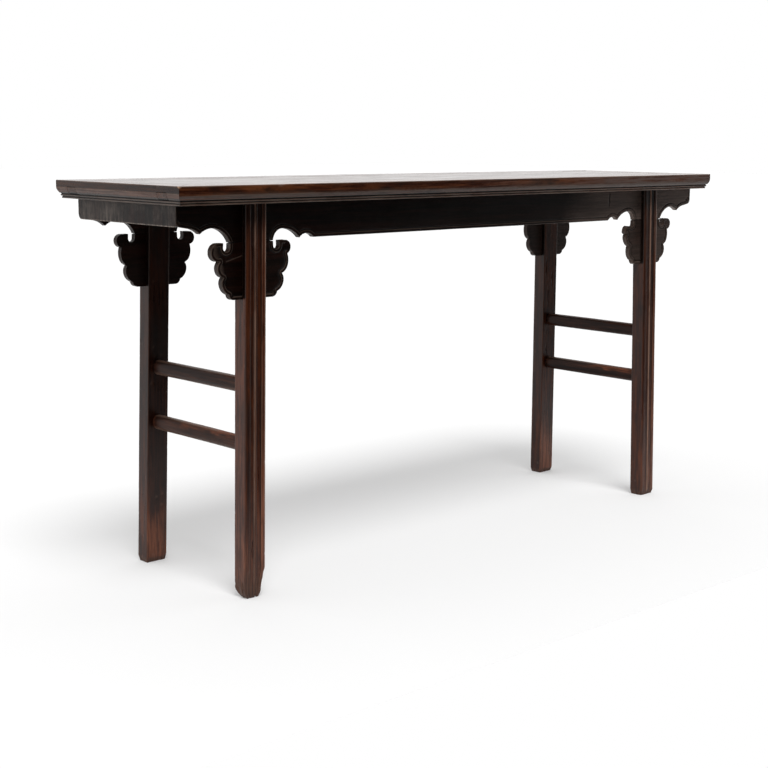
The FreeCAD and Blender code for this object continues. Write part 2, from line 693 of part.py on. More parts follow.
# Every object must have been worked out, and every cut must have taken something away.
for item in doc.Objects:
    bad = {"Invalid", "Error"} & set(item.State)
    if bad:
        raise RuntimeError(f"{item.Label} is {', '.join(sorted(bad))}")
bodies = [item for item in doc.Objects if item.TypeId == "PartDesign::Body"]
for body in bodies:
    if body.Shape.isNull() or not body.Shape.isValid():
        raise RuntimeError(f"{body.Label} has no valid shape")
    if len(body.Shape.Solids) != 1:
        raise RuntimeError(f"{body.Label} is not one solid")
    before = 0
    for feature in body.Group:
        if feature.TypeId == "PartDesign::Pocket" and feature.Shape.Volume >= before:
            raise RuntimeError(f"{feature.Label} cuts nothing")
        if feature.TypeId in ("PartDesign::Pad", "PartDesign::Pocket"):
            before = feature.Shape.Volume

os.makedirs("parts", exist_ok=True)
for body in bodies:
    body.Shape.exportStep(f"parts/{body.Label}.step")
print(f"{len(bodies)} parts written")
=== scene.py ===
import math

import bpy
import numpy as np
from mathutils import Matrix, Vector
from mathutils.geometry import delaunay_2d_cdt


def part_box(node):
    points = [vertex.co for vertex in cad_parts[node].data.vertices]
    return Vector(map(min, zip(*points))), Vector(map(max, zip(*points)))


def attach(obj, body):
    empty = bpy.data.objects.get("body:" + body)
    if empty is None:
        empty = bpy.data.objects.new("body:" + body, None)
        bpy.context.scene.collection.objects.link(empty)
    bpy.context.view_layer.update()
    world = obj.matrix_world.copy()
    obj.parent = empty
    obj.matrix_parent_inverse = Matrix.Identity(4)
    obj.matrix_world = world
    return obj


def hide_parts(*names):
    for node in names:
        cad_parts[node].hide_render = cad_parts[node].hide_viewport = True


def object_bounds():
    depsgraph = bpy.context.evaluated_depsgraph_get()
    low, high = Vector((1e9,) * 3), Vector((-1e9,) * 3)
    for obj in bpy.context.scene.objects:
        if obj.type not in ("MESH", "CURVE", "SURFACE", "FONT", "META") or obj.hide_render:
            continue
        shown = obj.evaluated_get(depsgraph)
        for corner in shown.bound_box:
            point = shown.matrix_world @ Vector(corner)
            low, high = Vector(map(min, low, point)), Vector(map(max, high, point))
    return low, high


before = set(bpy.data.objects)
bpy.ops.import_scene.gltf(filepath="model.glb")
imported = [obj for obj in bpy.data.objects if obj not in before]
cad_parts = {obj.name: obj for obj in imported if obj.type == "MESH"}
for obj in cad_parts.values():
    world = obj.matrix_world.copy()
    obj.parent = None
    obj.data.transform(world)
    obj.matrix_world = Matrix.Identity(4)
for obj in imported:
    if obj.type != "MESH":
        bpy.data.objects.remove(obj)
CAD_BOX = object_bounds()

# Places read off the frame, in metres.
HALF_LENGTH, HALF_WIDTH, HEIGHT = CAD_BOX[1]
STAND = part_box("top_frame_front_stile")[0].z
OPENING_X, OPENING_Y = -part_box("top_frame_left_end_rail")[1].x, -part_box("top_frame_front_stile")[1].y
END_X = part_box("front_apron")[1].x
BOARD_FACE, BOARD_BACK = -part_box("front_apron")[0].y, -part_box("front_apron")[1].y
BOARD_THICKNESS = BOARD_FACE - BOARD_BACK
NECK_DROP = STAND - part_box("front_apron")[0].z
END_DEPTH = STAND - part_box("left_end_apron")[0].z
PANEL_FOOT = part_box("top_panel_front_board")[0].z
SPANDREL_LOW, SPANDREL_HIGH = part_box("back_right_spandrel")
SPANDREL_REACH = (SPANDREL_HIGH.x - SPANDREL_LOW.x) / 2
SPANDREL_HEIGHT = SPANDREL_HIGH.z - SPANDREL_LOW.z
SCROLL_X = (SPANDREL_HIGH.x + SPANDREL_LOW.x) / 2

# Sizes of the mouldings and joints, in metres.
MM = 0.001
FRAME_THICKNESS = HEIGHT - STAND
EDGE_UNDERCUT = 10.2 * MM
EDGE_ROUND = 2 * MM
TENON_SETBACK, TENON_WIDTH = 43 * MM, 33 * MM
TENON_RISE, TENON_THICKNESS = 10 * MM, 15.5 * MM
TENON_GAP = 0.25 * MM
LEG_WIDTH, LEG_DEPTH = 54.5 * MM, 38 * MM
LEG_X = HALF_LENGTH - 188 * MM - LEG_WIDTH / 2
FOOT_SPREAD_LONG, FOOT_SPREAD_DEEP = 18.3 * MM, 10.7 * MM
FRONT_CHEEK = 12 * MM
SLOT_HALF = BOARD_THICKNESS / 2
LEG_FACE, LEG_BACK = -(FRONT_CHEEK + SLOT_HALF), LEG_DEPTH - FRONT_CHEEK - SLOT_HALF
BOARD_MIDDLE = (BOARD_FACE + BOARD_BACK) / 2
CORNER_ROUND, BACK_ROUND = 4.5 * MM, 2 * MM
BAND_WIDTH, FLANK_RUN, FIELD_RECESS = 12.5 * MM, 1 * MM, 1.3 * MM
BEAD_WIDTH, BEAD_RISE = 7 * MM, 0.6 * MM
APRON_DEPTH = 76 * MM
NECK_HALF_WIDTH = 56 * MM
SEAM_GAP, SEAM_GAP_RUN = 1.4 * MM, 9 * MM
INNER_SCROLL_RUN, OUTER_SCROLL_RUN = 166 * MM, 171 * MM
END_CORNER_ROUND = 11 * MM
RUNG_WIDTH, RUNG_HEIGHT, RUNG_FLAT = 28 * MM, 34 * MM, 8 * MM
BOARD_GRID = 8 * MM
# A frame member's knocks and rough places for each metre of half its length, and the deepest knock.
KNOCKS, ROUGH_PLACES = 26, 30
DEEPEST_KNOCK = 0.9 * MM
# How far the middle of a quarter round lies from each side of its corner, as a share of its radius.
QUARTER = 1 - 0.5**0.5
# The kinds of mark kept on each point of a mesh. The worn mark also paints highlights, and the bare mark also
# paints the end boards' sheen.
WORN_AND_HIGHLIGHT, DIRTY, BARE_AND_SHEEN = 0, 1, 2

# Outlines as shares of the sizes that they follow: a row of one place is a line, of two an arc.
EDGE_SHARES = (
    ((0.00, 0.38),),
    ((0.145, 0.55), (0.56, 0.715)),
    ((0.76, 0.75), (0.64, 0.785)),
    ((0.655, 0.83), (0.80, 0.868)),
    ((0.95, 0.885), (0.84, 0.91)),
    ((0.83, 0.96), (1.00, 1.00)),
)
INNER_SCROLL_SHARES = (
    ((0.060, 0.822), (0.266, 0.724)),
    ((0.468, 0.796), (0.646, 0.995)),
    ((0.800, 0.882), (1.000, 1.000)),
)
OUTER_SCROLL_SHARES = (
    ((0.120, 0.783), (0.368, 0.625)),
    ((0.510, 0.658), (0.646, 0.770)),
    ((0.750, 0.665), (0.880, 0.610)),
)
GAP_SHARES = ((0.547, 0.080), (0.627, 0.158), (0.709, 0.080))
WHOLE_EAR_SHARES = (((0.702, 0.002),), ((0.845, 0.002),))
# Half of a spandrel below its ear, and the hand-cut variations of it that the table shows.
HALF_SHARES = (
    ((1.000, 0.128), (0.876, 0.250)),
    ((0.895, 0.342), (0.880, 0.455)),
    ((0.845, 0.522), (0.738, 0.591)),
    ((0.778, 0.665), (0.777, 0.738)),
    ((0.722, 0.838), (0.612, 0.906)),
    ((0.582, 0.962), (0.490, 1.000)),
)
FRONT_LEFT_OUTER_SHARES = (
    ((1.000, 0.128), (0.792, 0.320)),
    ((0.850, 0.442), (0.709, 0.602)),
    ((0.746, 0.667), (0.743, 0.735)),
    ((0.690, 0.838), (0.579, 0.906)),
    ((0.553, 0.962), (0.461, 1.000)),
)
FRONT_LEFT_INNER_SHARES = (
    ((1.000, 0.128), (0.914, 0.245)),
    ((0.940, 0.342), (0.922, 0.455)),
    ((0.880, 0.522), (0.773, 0.591)),
    ((0.812, 0.665), (0.809, 0.738)),
    ((0.755, 0.838), (0.644, 0.906)),
    ((0.613, 0.962), (0.521, 1.000)),
)
BROKEN_GAP_SHARES = ((0.547, 0.080), (0.575, 0.142), (0.640, 0.150))
BROKEN_EAR_SHARES = (((0.720, 0.138),),)
FRONT_RIGHT_INNER_SHARES = (
    ((0.840, 0.150), (0.884, 0.225)),
    ((0.880, 0.285), (0.818, 0.312)),
    ((0.845, 0.360), (0.825, 0.455)),
    ((0.780, 0.525), (0.680, 0.585)),
    ((0.705, 0.665), (0.700, 0.738)),
    ((0.655, 0.838), (0.555, 0.906)),
    ((0.525, 0.962), (0.450, 1.000)),
)

# The carved border that follows a board's shaped edge: distances from the edge, and heights at them.
BORDER = MM * np.array(
    [
        [0.0, 0.5, 1.2, 2.6, 4.4, 6.0, 7.2, 7.9, 8.5, 9.2, 10.2, 13.0],
        [-1.1, -0.5, -0.15, -0.02, 0.0, -0.18, -0.55, -1.5, -1.75, -1.4, -0.95, -0.85],
    ]
)
# A plain board's eased edge, in the same way.
EASED = MM * np.array([[0.0, 0.5, 1.2, 2.4], [-0.7, -0.2, -0.03, 0.0]])

TABLE = np.random.default_rng(7).permutation(256)


def smooth(low, high, x):
    """Nought below the low place, one above the high place, and a soft rise between."""
    t = np.clip((x - low) / (high - low), 0, 1)
    return t * t * (3 - 2 * t)


def smooth_mm(low, high, x):
    """The same soft rise between two places that are given in millimetres."""
    return smooth(low * MM, high * MM, x)


def space(*axes):
    """Points in space from their coordinates, each an array or one number."""
    return np.stack(np.broadcast_arrays(*axes), axis=-1)


def noise(points, size, seed=0):
    """Smooth noise from -1 to 1 over points in space, its lumps about the given size."""
    q = np.asarray(points, float) / size + seed * 17.3
    cell = np.floor(q).astype(int)
    f = q - cell
    f = f * f * (3 - 2 * f)
    total = 0
    for corner in np.ndindex(2, 2, 2):
        hashed, weight = 0, 1
        for k, step in enumerate(corner):
            hashed = TABLE[(hashed + cell[..., k] + step) & 255]
            weight = weight * (f[..., k] if step else 1 - f[..., k])
        total = total + weight * hashed
    return total / 127.5 - 1


def arc(start, middle, end, count):
    """Points along the circle from start, left out, through middle to end."""
    (ax, ay), (bx, by), (cx, cy) = start, middle, end
    d = 2 * (ax * (by - cy) + bx * (cy - ay) + cx * (ay - by))
    ux = ((ax**2 + ay**2) * (by - cy) + (bx**2 + by**2) * (cy - ay) + (cx**2 + cy**2) * (ay - by)) / d
    uy = ((ax**2 + ay**2) * (cx - bx) + (bx**2 + by**2) * (ax - cx) + (cx**2 + cy**2) * (bx - ax)) / d
    radius = math.hypot(ax - ux, ay - uy)
    first, mid, last = (math.atan2(y - uy, x - ux) for x, y in (start, middle, end))
    turn = (last - first) % math.tau
    if (mid - first) % math.tau > turn:
        turn -= math.tau
    angles = [first + turn * (k + 1) / count for k in range(count)]
    return [(ux + radius * math.cos(a), uy + radius * math.sin(a)) for a in angles]


def trace(start, steps, step_size):
    """An outline as points about a step apart: a step of one place is a line, of two an arc."""
    points = [start]
    for step in steps:
        here = points[-1]
        places = [here, *step]
        run = sum(math.dist(p, q) for p, q in zip(places, places[1:]))
        count = max(1, round(run / step_size))
        if len(step) == 2:
            points += arc(here, *step, max(3, count))
        else:
            ahead = np.subtract(step[0], here)
            points += [tuple(here + ahead * (k + 1) / count) for k in range(count)]
    return points


def shaped(*runs):
    """An outline from runs of start, steps, step size and kind, and the kind of each of its edges."""
    points, kinds = [runs[0][0]], []
    for start, steps, step_size, kind in runs:
        places = trace(start or points[-1], steps, step_size)
        points += places[1:]
        kinds += [kind] * (len(places) - 1)
    return points, kinds


def backwards(start, steps):
    """The same steps walked from their end to the given start."""
    places = [start] + [step[-1] for step in steps]
    return [steps[k][:-1] + (places[k],) for k in range(len(steps) - 1, -1, -1)]


def flipped(steps):
    """The same steps on the other side of the upright axis."""
    return [tuple((-x, y) for x, y in step) for step in steps]


def mirrored(half):
    """A closed outline from its right half, which starts and ends on the upright axis."""
    return half + [(-x, z) for x, z in half[1:-1]][::-1]


def signed_area(p):
    """The area of a closed outline: positive where it runs anticlockwise."""
    return 0.5 * np.sum(p[:, 0] * np.roll(p[:, 1], -1) - np.roll(p[:, 0], -1) * p[:, 1])


def edge_wear(profile, reach, count):
    """Marks for each station of a sweep: worn where its closed profile turns out, dirty in its hollows."""
    closed = np.vstack([profile, profile, profile, profile[:1]])
    s = np.concatenate([[0], np.cumsum(np.linalg.norm(np.diff(closed, axis=0), axis=1))])
    at = s[len(profile) : 2 * len(profile)]

    def along(shift):
        return np.stack([np.interp(at + shift, s, closed[:, k]) for k in (0, 1)], axis=1)

    before, after = profile - along(-reach), along(reach) - profile
    cross = before[:, 0] * after[:, 1] - before[:, 1] * after[:, 0]
    turn = np.arctan2(cross, (before * after).sum(axis=1)) * np.sign(signed_area(profile))
    marks = np.zeros((count, len(profile), 3))
    marks[:, :, WORN_AND_HIGHLIGHT] = np.clip(turn / 0.9, 0, 1)
    marks[:, :, DIRTY] = np.clip(-turn / 0.7, 0, 1)
    return marks.reshape(-1, 3)


def mark(marks, kind, amount):
    """Raise one kind of mark to at least an amount at each point."""
    marks[:, kind] = np.maximum(marks[:, kind], amount)


def turned(points, turn, origin):
    """Points of a piece's own frame, turned about +Z by quarter turns and moved into the row's frame."""
    c, s = round(math.cos(math.radians(turn))), round(math.sin(math.radians(turn)))
    x, y, z = np.asarray(points, float).T
    return space(c * x - s * y, s * x + c * y, z) + origin


def fans(faces, sizes):
    """Faces of each size as one array, and the second corner of each triangle of their fans."""
    for size in {len(face) for face in faces} & sizes:
        f = np.array([face for face in faces if len(face) == size])
        yield f, range(1, size - 1)


def vertex_normals(points, faces):
    """Unit normals of the points, from the faces of three and four corners round them."""
    normals = np.zeros_like(points)
    for f, corners in fans(faces, {3, 4}):
        total = np.zeros((len(f), 3))
        for k in corners:
            total += np.cross(points[f[:, k]] - points[f[:, 0]], points[f[:, k + 1]] - points[f[:, 0]])
        for column in f.T:
            np.add.at(normals, column, total)
    return normals / np.maximum(np.linalg.norm(normals, axis=1, keepdims=True), 1e-12)


def facing_outwards(points, faces):
    """The faces of a closed mesh, turned round if they look inwards."""
    volume = 0.0
    for f, corners in fans(faces, {len(face) for face in faces}):
        for k in corners:
            volume += np.einsum("ij,ij->", points[f[:, 0]], np.cross(points[f[:, k]], points[f[:, k + 1]]))
    return faces if volume > 0 else [face[::-1] for face in faces]


def dent(points, centre, radius, depth):
    """How deep a soft hollow round a place presses each point."""
    away = np.linalg.norm(points - centre, axis=1)
    return depth * np.clip(1 - (away / radius) ** 2, 0, 1)


def shown(name, data):
    """A new object in the scene."""
    thing = bpy.data.objects.new(name, data)
    bpy.context.scene.collection.objects.link(thing)
    return thing


def make_piece(name, points, faces, slot, along, marks, seed, press=0, tone=0, scale=(1, 1, 1), polish=None):
    """One visible piece for its node: a mesh with the wood's grain and wear kept on its points."""
    faces = facing_outwards(points, faces)
    wobble = 0.35 * MM * (noise(points, 90 * MM, seed) - 1) / 2
    wobble = wobble + 0.15 * MM * (noise(points, 14 * MM, seed + 1) - 1) / 2
    points = np.clip(points + vertex_normals(points, faces) * (wobble - press)[:, None], *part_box(name))
    mesh = bpy.data.meshes.new(f"{name}_wood")
    mesh.from_pydata(points.tolist(), [], [list(map(int, face)) for face in faces])
    mesh.validate()
    mesh.polygons.foreach_set("use_smooth", [True] * len(mesh.polygons))
    mesh.set_sharp_from_angle(angle=math.radians(38))
    order = {"x": (0, 1, 2), "y": (1, 0, 2), "z": (2, 0, 1)}[along]
    grain = points[:, order] * scale + seed * np.array([0.37, 0.11, 0.23])
    tone = tone + np.zeros(len(points))
    for title, values in (("grain", grain), ("marks", marks), ("tone", tone), ("polish", polish)):
        if values is not None:
            kind, field = ("FLOAT", "value") if values.ndim == 1 else ("FLOAT_VECTOR", "vector")
            attribute = mesh.attributes.new(title, kind, "POINT")
            attribute.data.foreach_set(field, np.asarray(values, np.float32).ravel())
    piece = shown(f"{name}_wood", mesh)
    mesh.materials.append(MATERIALS[slot])
    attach(piece, "root")
    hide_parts(name)


def tube_faces(stations, around, capped=True):
    """Faces of a closed tube of rings, numbered ring by ring, with a cap at each end."""
    faces = []
    for i in range(stations - 1):
        for j in range(around):
            k = (j + 1) % around
            faces.append((i * around + j, i * around + k, (i + 1) * around + k, (i + 1) * around + j))
    if capped:
        faces.append(tuple(range(around - 1, -1, -1)))
        faces.append(tuple(range((stations - 1) * around, stations * around)))
    return faces


def joined(points, faces, *values):
    """A mesh whose points that fell together are one: the points, the faces with an area, and the values."""
    cells = np.round(points / 1e-7).astype(np.int64)
    _, first, place = np.unique(cells, axis=0, return_index=True, return_inverse=True)
    place = place.ravel().tolist()
    kept = []
    for face in faces:
        ring = []
        for k in face:
            if not ring or ring[-1] != place[k]:
                ring.append(place[k])
        if ring[0] == ring[-1]:
            ring.pop()
        if len(ring) > 2 and len(set(ring)) == len(ring):
            kept.append(tuple(ring))
    return points[first], kept, *(each[first] for each in values)


def refined(points, levels):
    """The same line with a point more where it crosses each given height on its outer side."""
    out = []
    for a, b in zip(points, points[1:] + points[:1]):
        out.append(a)
        is_outer = max(a[0], b[0]) < EDGE_UNDERCUT * 1.01
        crossed = [z for z in levels if is_outer and (a[1] - z) * (b[1] - z) < 0]
        for z in sorted(crossed, key=lambda z: abs(z - a[1])):
            t = (z - a[1]) / (b[1] - a[1])
            out.append((a[0] + t * (b[0] - a[0]), z))
    return out


def frame_profile():
    """Closed profile of a frame member: inwards from its outer face, and up from its underside."""
    top, width = FRAME_THICKNESS, HALF_WIDTH - OPENING_Y
    turn = EDGE_ROUND * QUARTER
    points = trace((EDGE_ROUND, top), [((turn, top - turn), (0, top - EDGE_ROUND))], 0.5 * MM)
    edge = [tuple((EDGE_UNDERCUT * i, top - top * d) for i, d in row) for row in EDGE_SHARES]
    points += trace(points[-1], edge, 1.1 * MM)[1:]
    points += trace(points[-1], [((width, 0),), ((width, top),), ((EDGE_ROUND, top),)], 7 * MM)[1:-1]
    ends = (TENON_RISE, TENON_RISE + TENON_THICKNESS)
    return refined(points, [z + shift for z in ends for shift in (-TENON_GAP, TENON_GAP)])


def inset_at(height):
    """How far the moulded edge lies inwards of its outer face at a height above its underside."""
    edge = sorted((z, y) for y, z in frame_profile() if y < EDGE_UNDERCUT * 1.01)
    return np.interp(height, [z for z, _ in edge], [y for _, y in edge])


def tenon_ends(half):
    """The stile's tenon ends that show in the end rails: points and faces in the stile's own frame."""
    across = np.linspace(TENON_SETBACK + TENON_GAP, TENON_SETBACK + TENON_WIDTH - TENON_GAP, 26)
    upright = np.linspace(TENON_RISE + TENON_GAP, TENON_RISE + TENON_THICKNESS - TENON_GAP, 14)
    # Each ring's depth below the moulded edge, and how far it is drawn in.
    depths = ((0.1 * MM, 0.35 * MM), (0.6 * MM, 0), (7 * MM, 0))
    shape = len(depths), len(upright), len(across)
    points, faces = [], []
    for side in (-1, 1):
        numbers = len(points) + np.arange(math.prod(shape)).reshape(shape)
        for depth, ease in depths:
            for z in np.clip(upright, upright[0] + ease, upright[-1] - ease):
                x = side * (half - inset_at(z) - depth)
                points += [(x, y, z) for y in np.clip(across, across[0] + ease, across[-1] - ease)]
        face = numbers[0]
        made = np.stack([face[:-1, :-1], face[:-1, 1:], face[1:, 1:], face[1:, :-1]], axis=-1)
        made = made.reshape(-1, 4).tolist()
        rings = [[*n[0], *n[1:, -1], *n[-1, -2::-1], *n[-2:0:-1, 0]] for n in numbers]
        for outer, deeper in zip(rings, rings[1:]):
            made += zip(outer, deeper, deeper[1:] + deeper[:1], outer[1:] + outer[:1])
        made.append(rings[-1][::-1])
        faces += [f if side > 0 else f[::-1] for f in made]
    used = sorted({k for f in faces for k in f})
    place = {k: n for n, k in enumerate(used)}
    return np.array(points)[used], [tuple(place[k] for k in f) for f in faces]


def spaced(half, fine_run, fine, coarse, extra=()):
    """Places from -half to half: fine near both ends, coarse between them, and some given ones."""
    ends = np.arange(0, fine_run, fine)
    middle = np.linspace(0, half - fine_run, max(2, round((half - fine_run) / coarse)))
    away = np.concatenate([middle, half - ends, np.asarray(extra, float)])
    return np.unique(np.round(np.concatenate([-away, away]), 7))


def round_wear_and_sheen(height, is_rail):
    """The round below the flat edge: a pale line of wear and painted highlight, and a painted sheen that
    turns to painted shade towards its hollow.
    """
    down = 1 - height / FRAME_THICKNESS
    if is_rail:
        line = 0.6 * smooth(0.05, 0.015, abs(down - 0.41))
        return line, 1.15 * smooth(0.35, 0.42, down) - 1.75 * smooth(0.58, 0.70, down)
    line = 0.75 * smooth(0.06, 0.02, abs(down - 0.51))
    return line, 1.3 * smooth(0.48, 0.54, down) - 1.9 * smooth(0.58, 0.72, down)


def make_frame_member(name, turn, seed, chip):
    """A moulded member of the top frame, mitred at both ends. The end rails show their through mortises."""
    is_rail = turn % 180 != 0
    half, reach = (HALF_WIDTH, HALF_LENGTH) if is_rail else (HALF_LENGTH, HALF_WIDTH)
    near, far = TENON_SETBACK, TENON_SETBACK + TENON_WIDTH
    lines = [half - edge + shift for edge in (near, far) for shift in (-0.3 * MM, 0.3 * MM)]
    stations = spaced(half, 60 * MM, 2 * MM, 9 * MM, lines if is_rail else ())
    profile = np.array(frame_profile())
    limit = half - 0.06 * MM - profile[:, 0]
    points = space(np.clip(stations[:, None], -limit, limit), *profile.T).reshape(-1, 3)
    marks = edge_wear(profile, 1.6 * MM, len(stations))
    # The mitres' lines are dark.
    mark(marks, DIRTY, 0.8 * smooth_mm(1.2, 0.2, half - points[:, 1] - abs(points[:, 0])))
    press = np.zeros(len(points))
    rng = np.random.default_rng(seed)
    # Knocks along the outer arris.
    for _ in range(int(half * KNOCKS)):
        spot = (rng.uniform(-half, half), rng.uniform(0, 1) * MM, FRAME_THICKNESS - rng.uniform(0, 2) * MM)
        hollow = dent(points, spot, rng.uniform(1.5, 5) * MM, rng.uniform(0.2, 0.9) * MM)
        press = np.maximum(press, hollow)
        mark(marks, WORN_AND_HIGHLIGHT, hollow / DEEPEST_KNOCK)
    # Rough places along the mouldings.
    for _ in range(int(half * ROUGH_PLACES)):
        spot = (rng.uniform(-half, half), EDGE_UNDERCUT * 0.6, rng.uniform(3, 22) * MM)
        press = np.maximum(press, dent(points, spot, rng.uniform(3, 9) * MM, rng.uniform(0.15, 0.55) * MM))
    if is_rail:
        across = abs(abs(points[:, 0]) - (half - (near + far) / 2)) < (far - near) / 2 - 0.05 * MM
        upright = (points[:, 2] > TENON_RISE) & (points[:, 2] < TENON_RISE + TENON_THICKNESS)
        inside = across & upright & (points[:, 1] < 20 * MM)
        press[inside] = 1.6 * MM
        marks[inside, DIRTY] = 1
    if chip:
        # The broken corner: a jagged hollow that shows pale wood.
        away = (points - (half if is_rail else -half, 0, FRAME_THICKNESS)) * [0.55, 1, 1]
        away = np.linalg.norm(away, axis=1) * (1 + 0.35 * noise(points, 4 * MM, seed + 6))
        hollow = 1.6 * MM * np.clip(1 - (away / (5 * MM)) ** 2, 0, 1)
        press = np.maximum(press, hollow)
        mark(marks, BARE_AND_SHEEN, smooth_mm(0.2, 0.9, hollow))
    tone = 0.3 * noise(points, 160 * MM, seed + 4)
    if is_rail:
        tone = tone - 0.7
        marks[:, WORN_AND_HIGHLIGHT] *= 0.6
    else:
        # The long pieces are painted greyer towards the right end: a painted sheen.
        tone = tone - 0.15 + smooth_mm(-200, 850, points[:, 0] * (1 if turn == 0 else -1))
    # The flat top is evenly rubbed, like the panel beside it.
    is_top = points[:, 2] > FRAME_THICKNESS - 0.2 * MM
    polish = smooth(0.5 * EDGE_ROUND, 1.5 * EDGE_ROUND, points[:, 1]) * is_top
    tone = tone * (1 - 0.7 * polish) + 0.35 * polish
    outside = points[:, 1] < EDGE_UNDERCUT * 1.05
    # The round gets its pale line of wear and painted highlight, and its painted sheen and shade.
    line, lift = round_wear_and_sheen(points[:, 2], is_rail)
    mark(marks, WORN_AND_HIGHLIGHT, outside * line)
    tone = tone + outside * lift
    faces = tube_faces(len(stations), len(profile))
    points, faces, marks, press, tone, polish = joined(points, faces, marks, press, tone, polish)
    if not is_rail:
        ends, end_faces = tenon_ends(half)
        # The tenon ends take the same painted sheen and shade, and are darker.
        line, lift = round_wear_and_sheen(ends[:, 2], True)
        faces = faces + [tuple(k + len(points) for k in f) for f in end_faces]
        points, marks = np.vstack([points, ends]), np.vstack([marks, space(0.6 * line, 0.25, 0)])
        press, polish = (np.concatenate([each, np.zeros(len(ends))]) for each in (press, polish))
        tone = np.concatenate([tone, lift - 0.75])
    points = turned(points, turn, turned([[0, -reach, 0]], turn, (0, 0, STAND)))
    along = "y" if is_rail else "x"
    make_piece(name, points, faces, "top_frame_wood", along, marks, seed, press, tone, polish=polish)


def within(points, ring):
    """Which points lie inside a closed ring."""
    inside = np.zeros(len(points), bool)
    for (ax, ay), (bx, by) in zip(ring, np.roll(ring, -1, axis=0)):
        if ay != by:
            crosses = (ay > points[:, 1]) != (by > points[:, 1])
            inside ^= crosses & (points[:, 0] < (bx - ax) * (points[:, 1] - ay) / (by - ay) + ax)
    return inside


def triangulated(ring, more):
    """Points and triangles inside a closed ring, and the place of each point of the ring among the points."""
    flat = [tuple(v) for v in np.vstack([ring, more])]
    loop = [(k, (k + 1) % len(ring)) for k in range(len(ring))]
    verts, _, tris, origins, _, _ = delaunay_2d_cdt(flat, loop, [], 0, 1e-9, True)
    place = {source: k for k, sources in enumerate(origins) for source in sources}
    verts, tris = np.array([tuple(v) for v in verts]), np.array([tuple(t) for t in tris])
    tris = tris[within(verts[tris].mean(axis=1), ring)]
    return verts, [tuple(t) for t in tris], [place[k] for k in range(len(ring))]


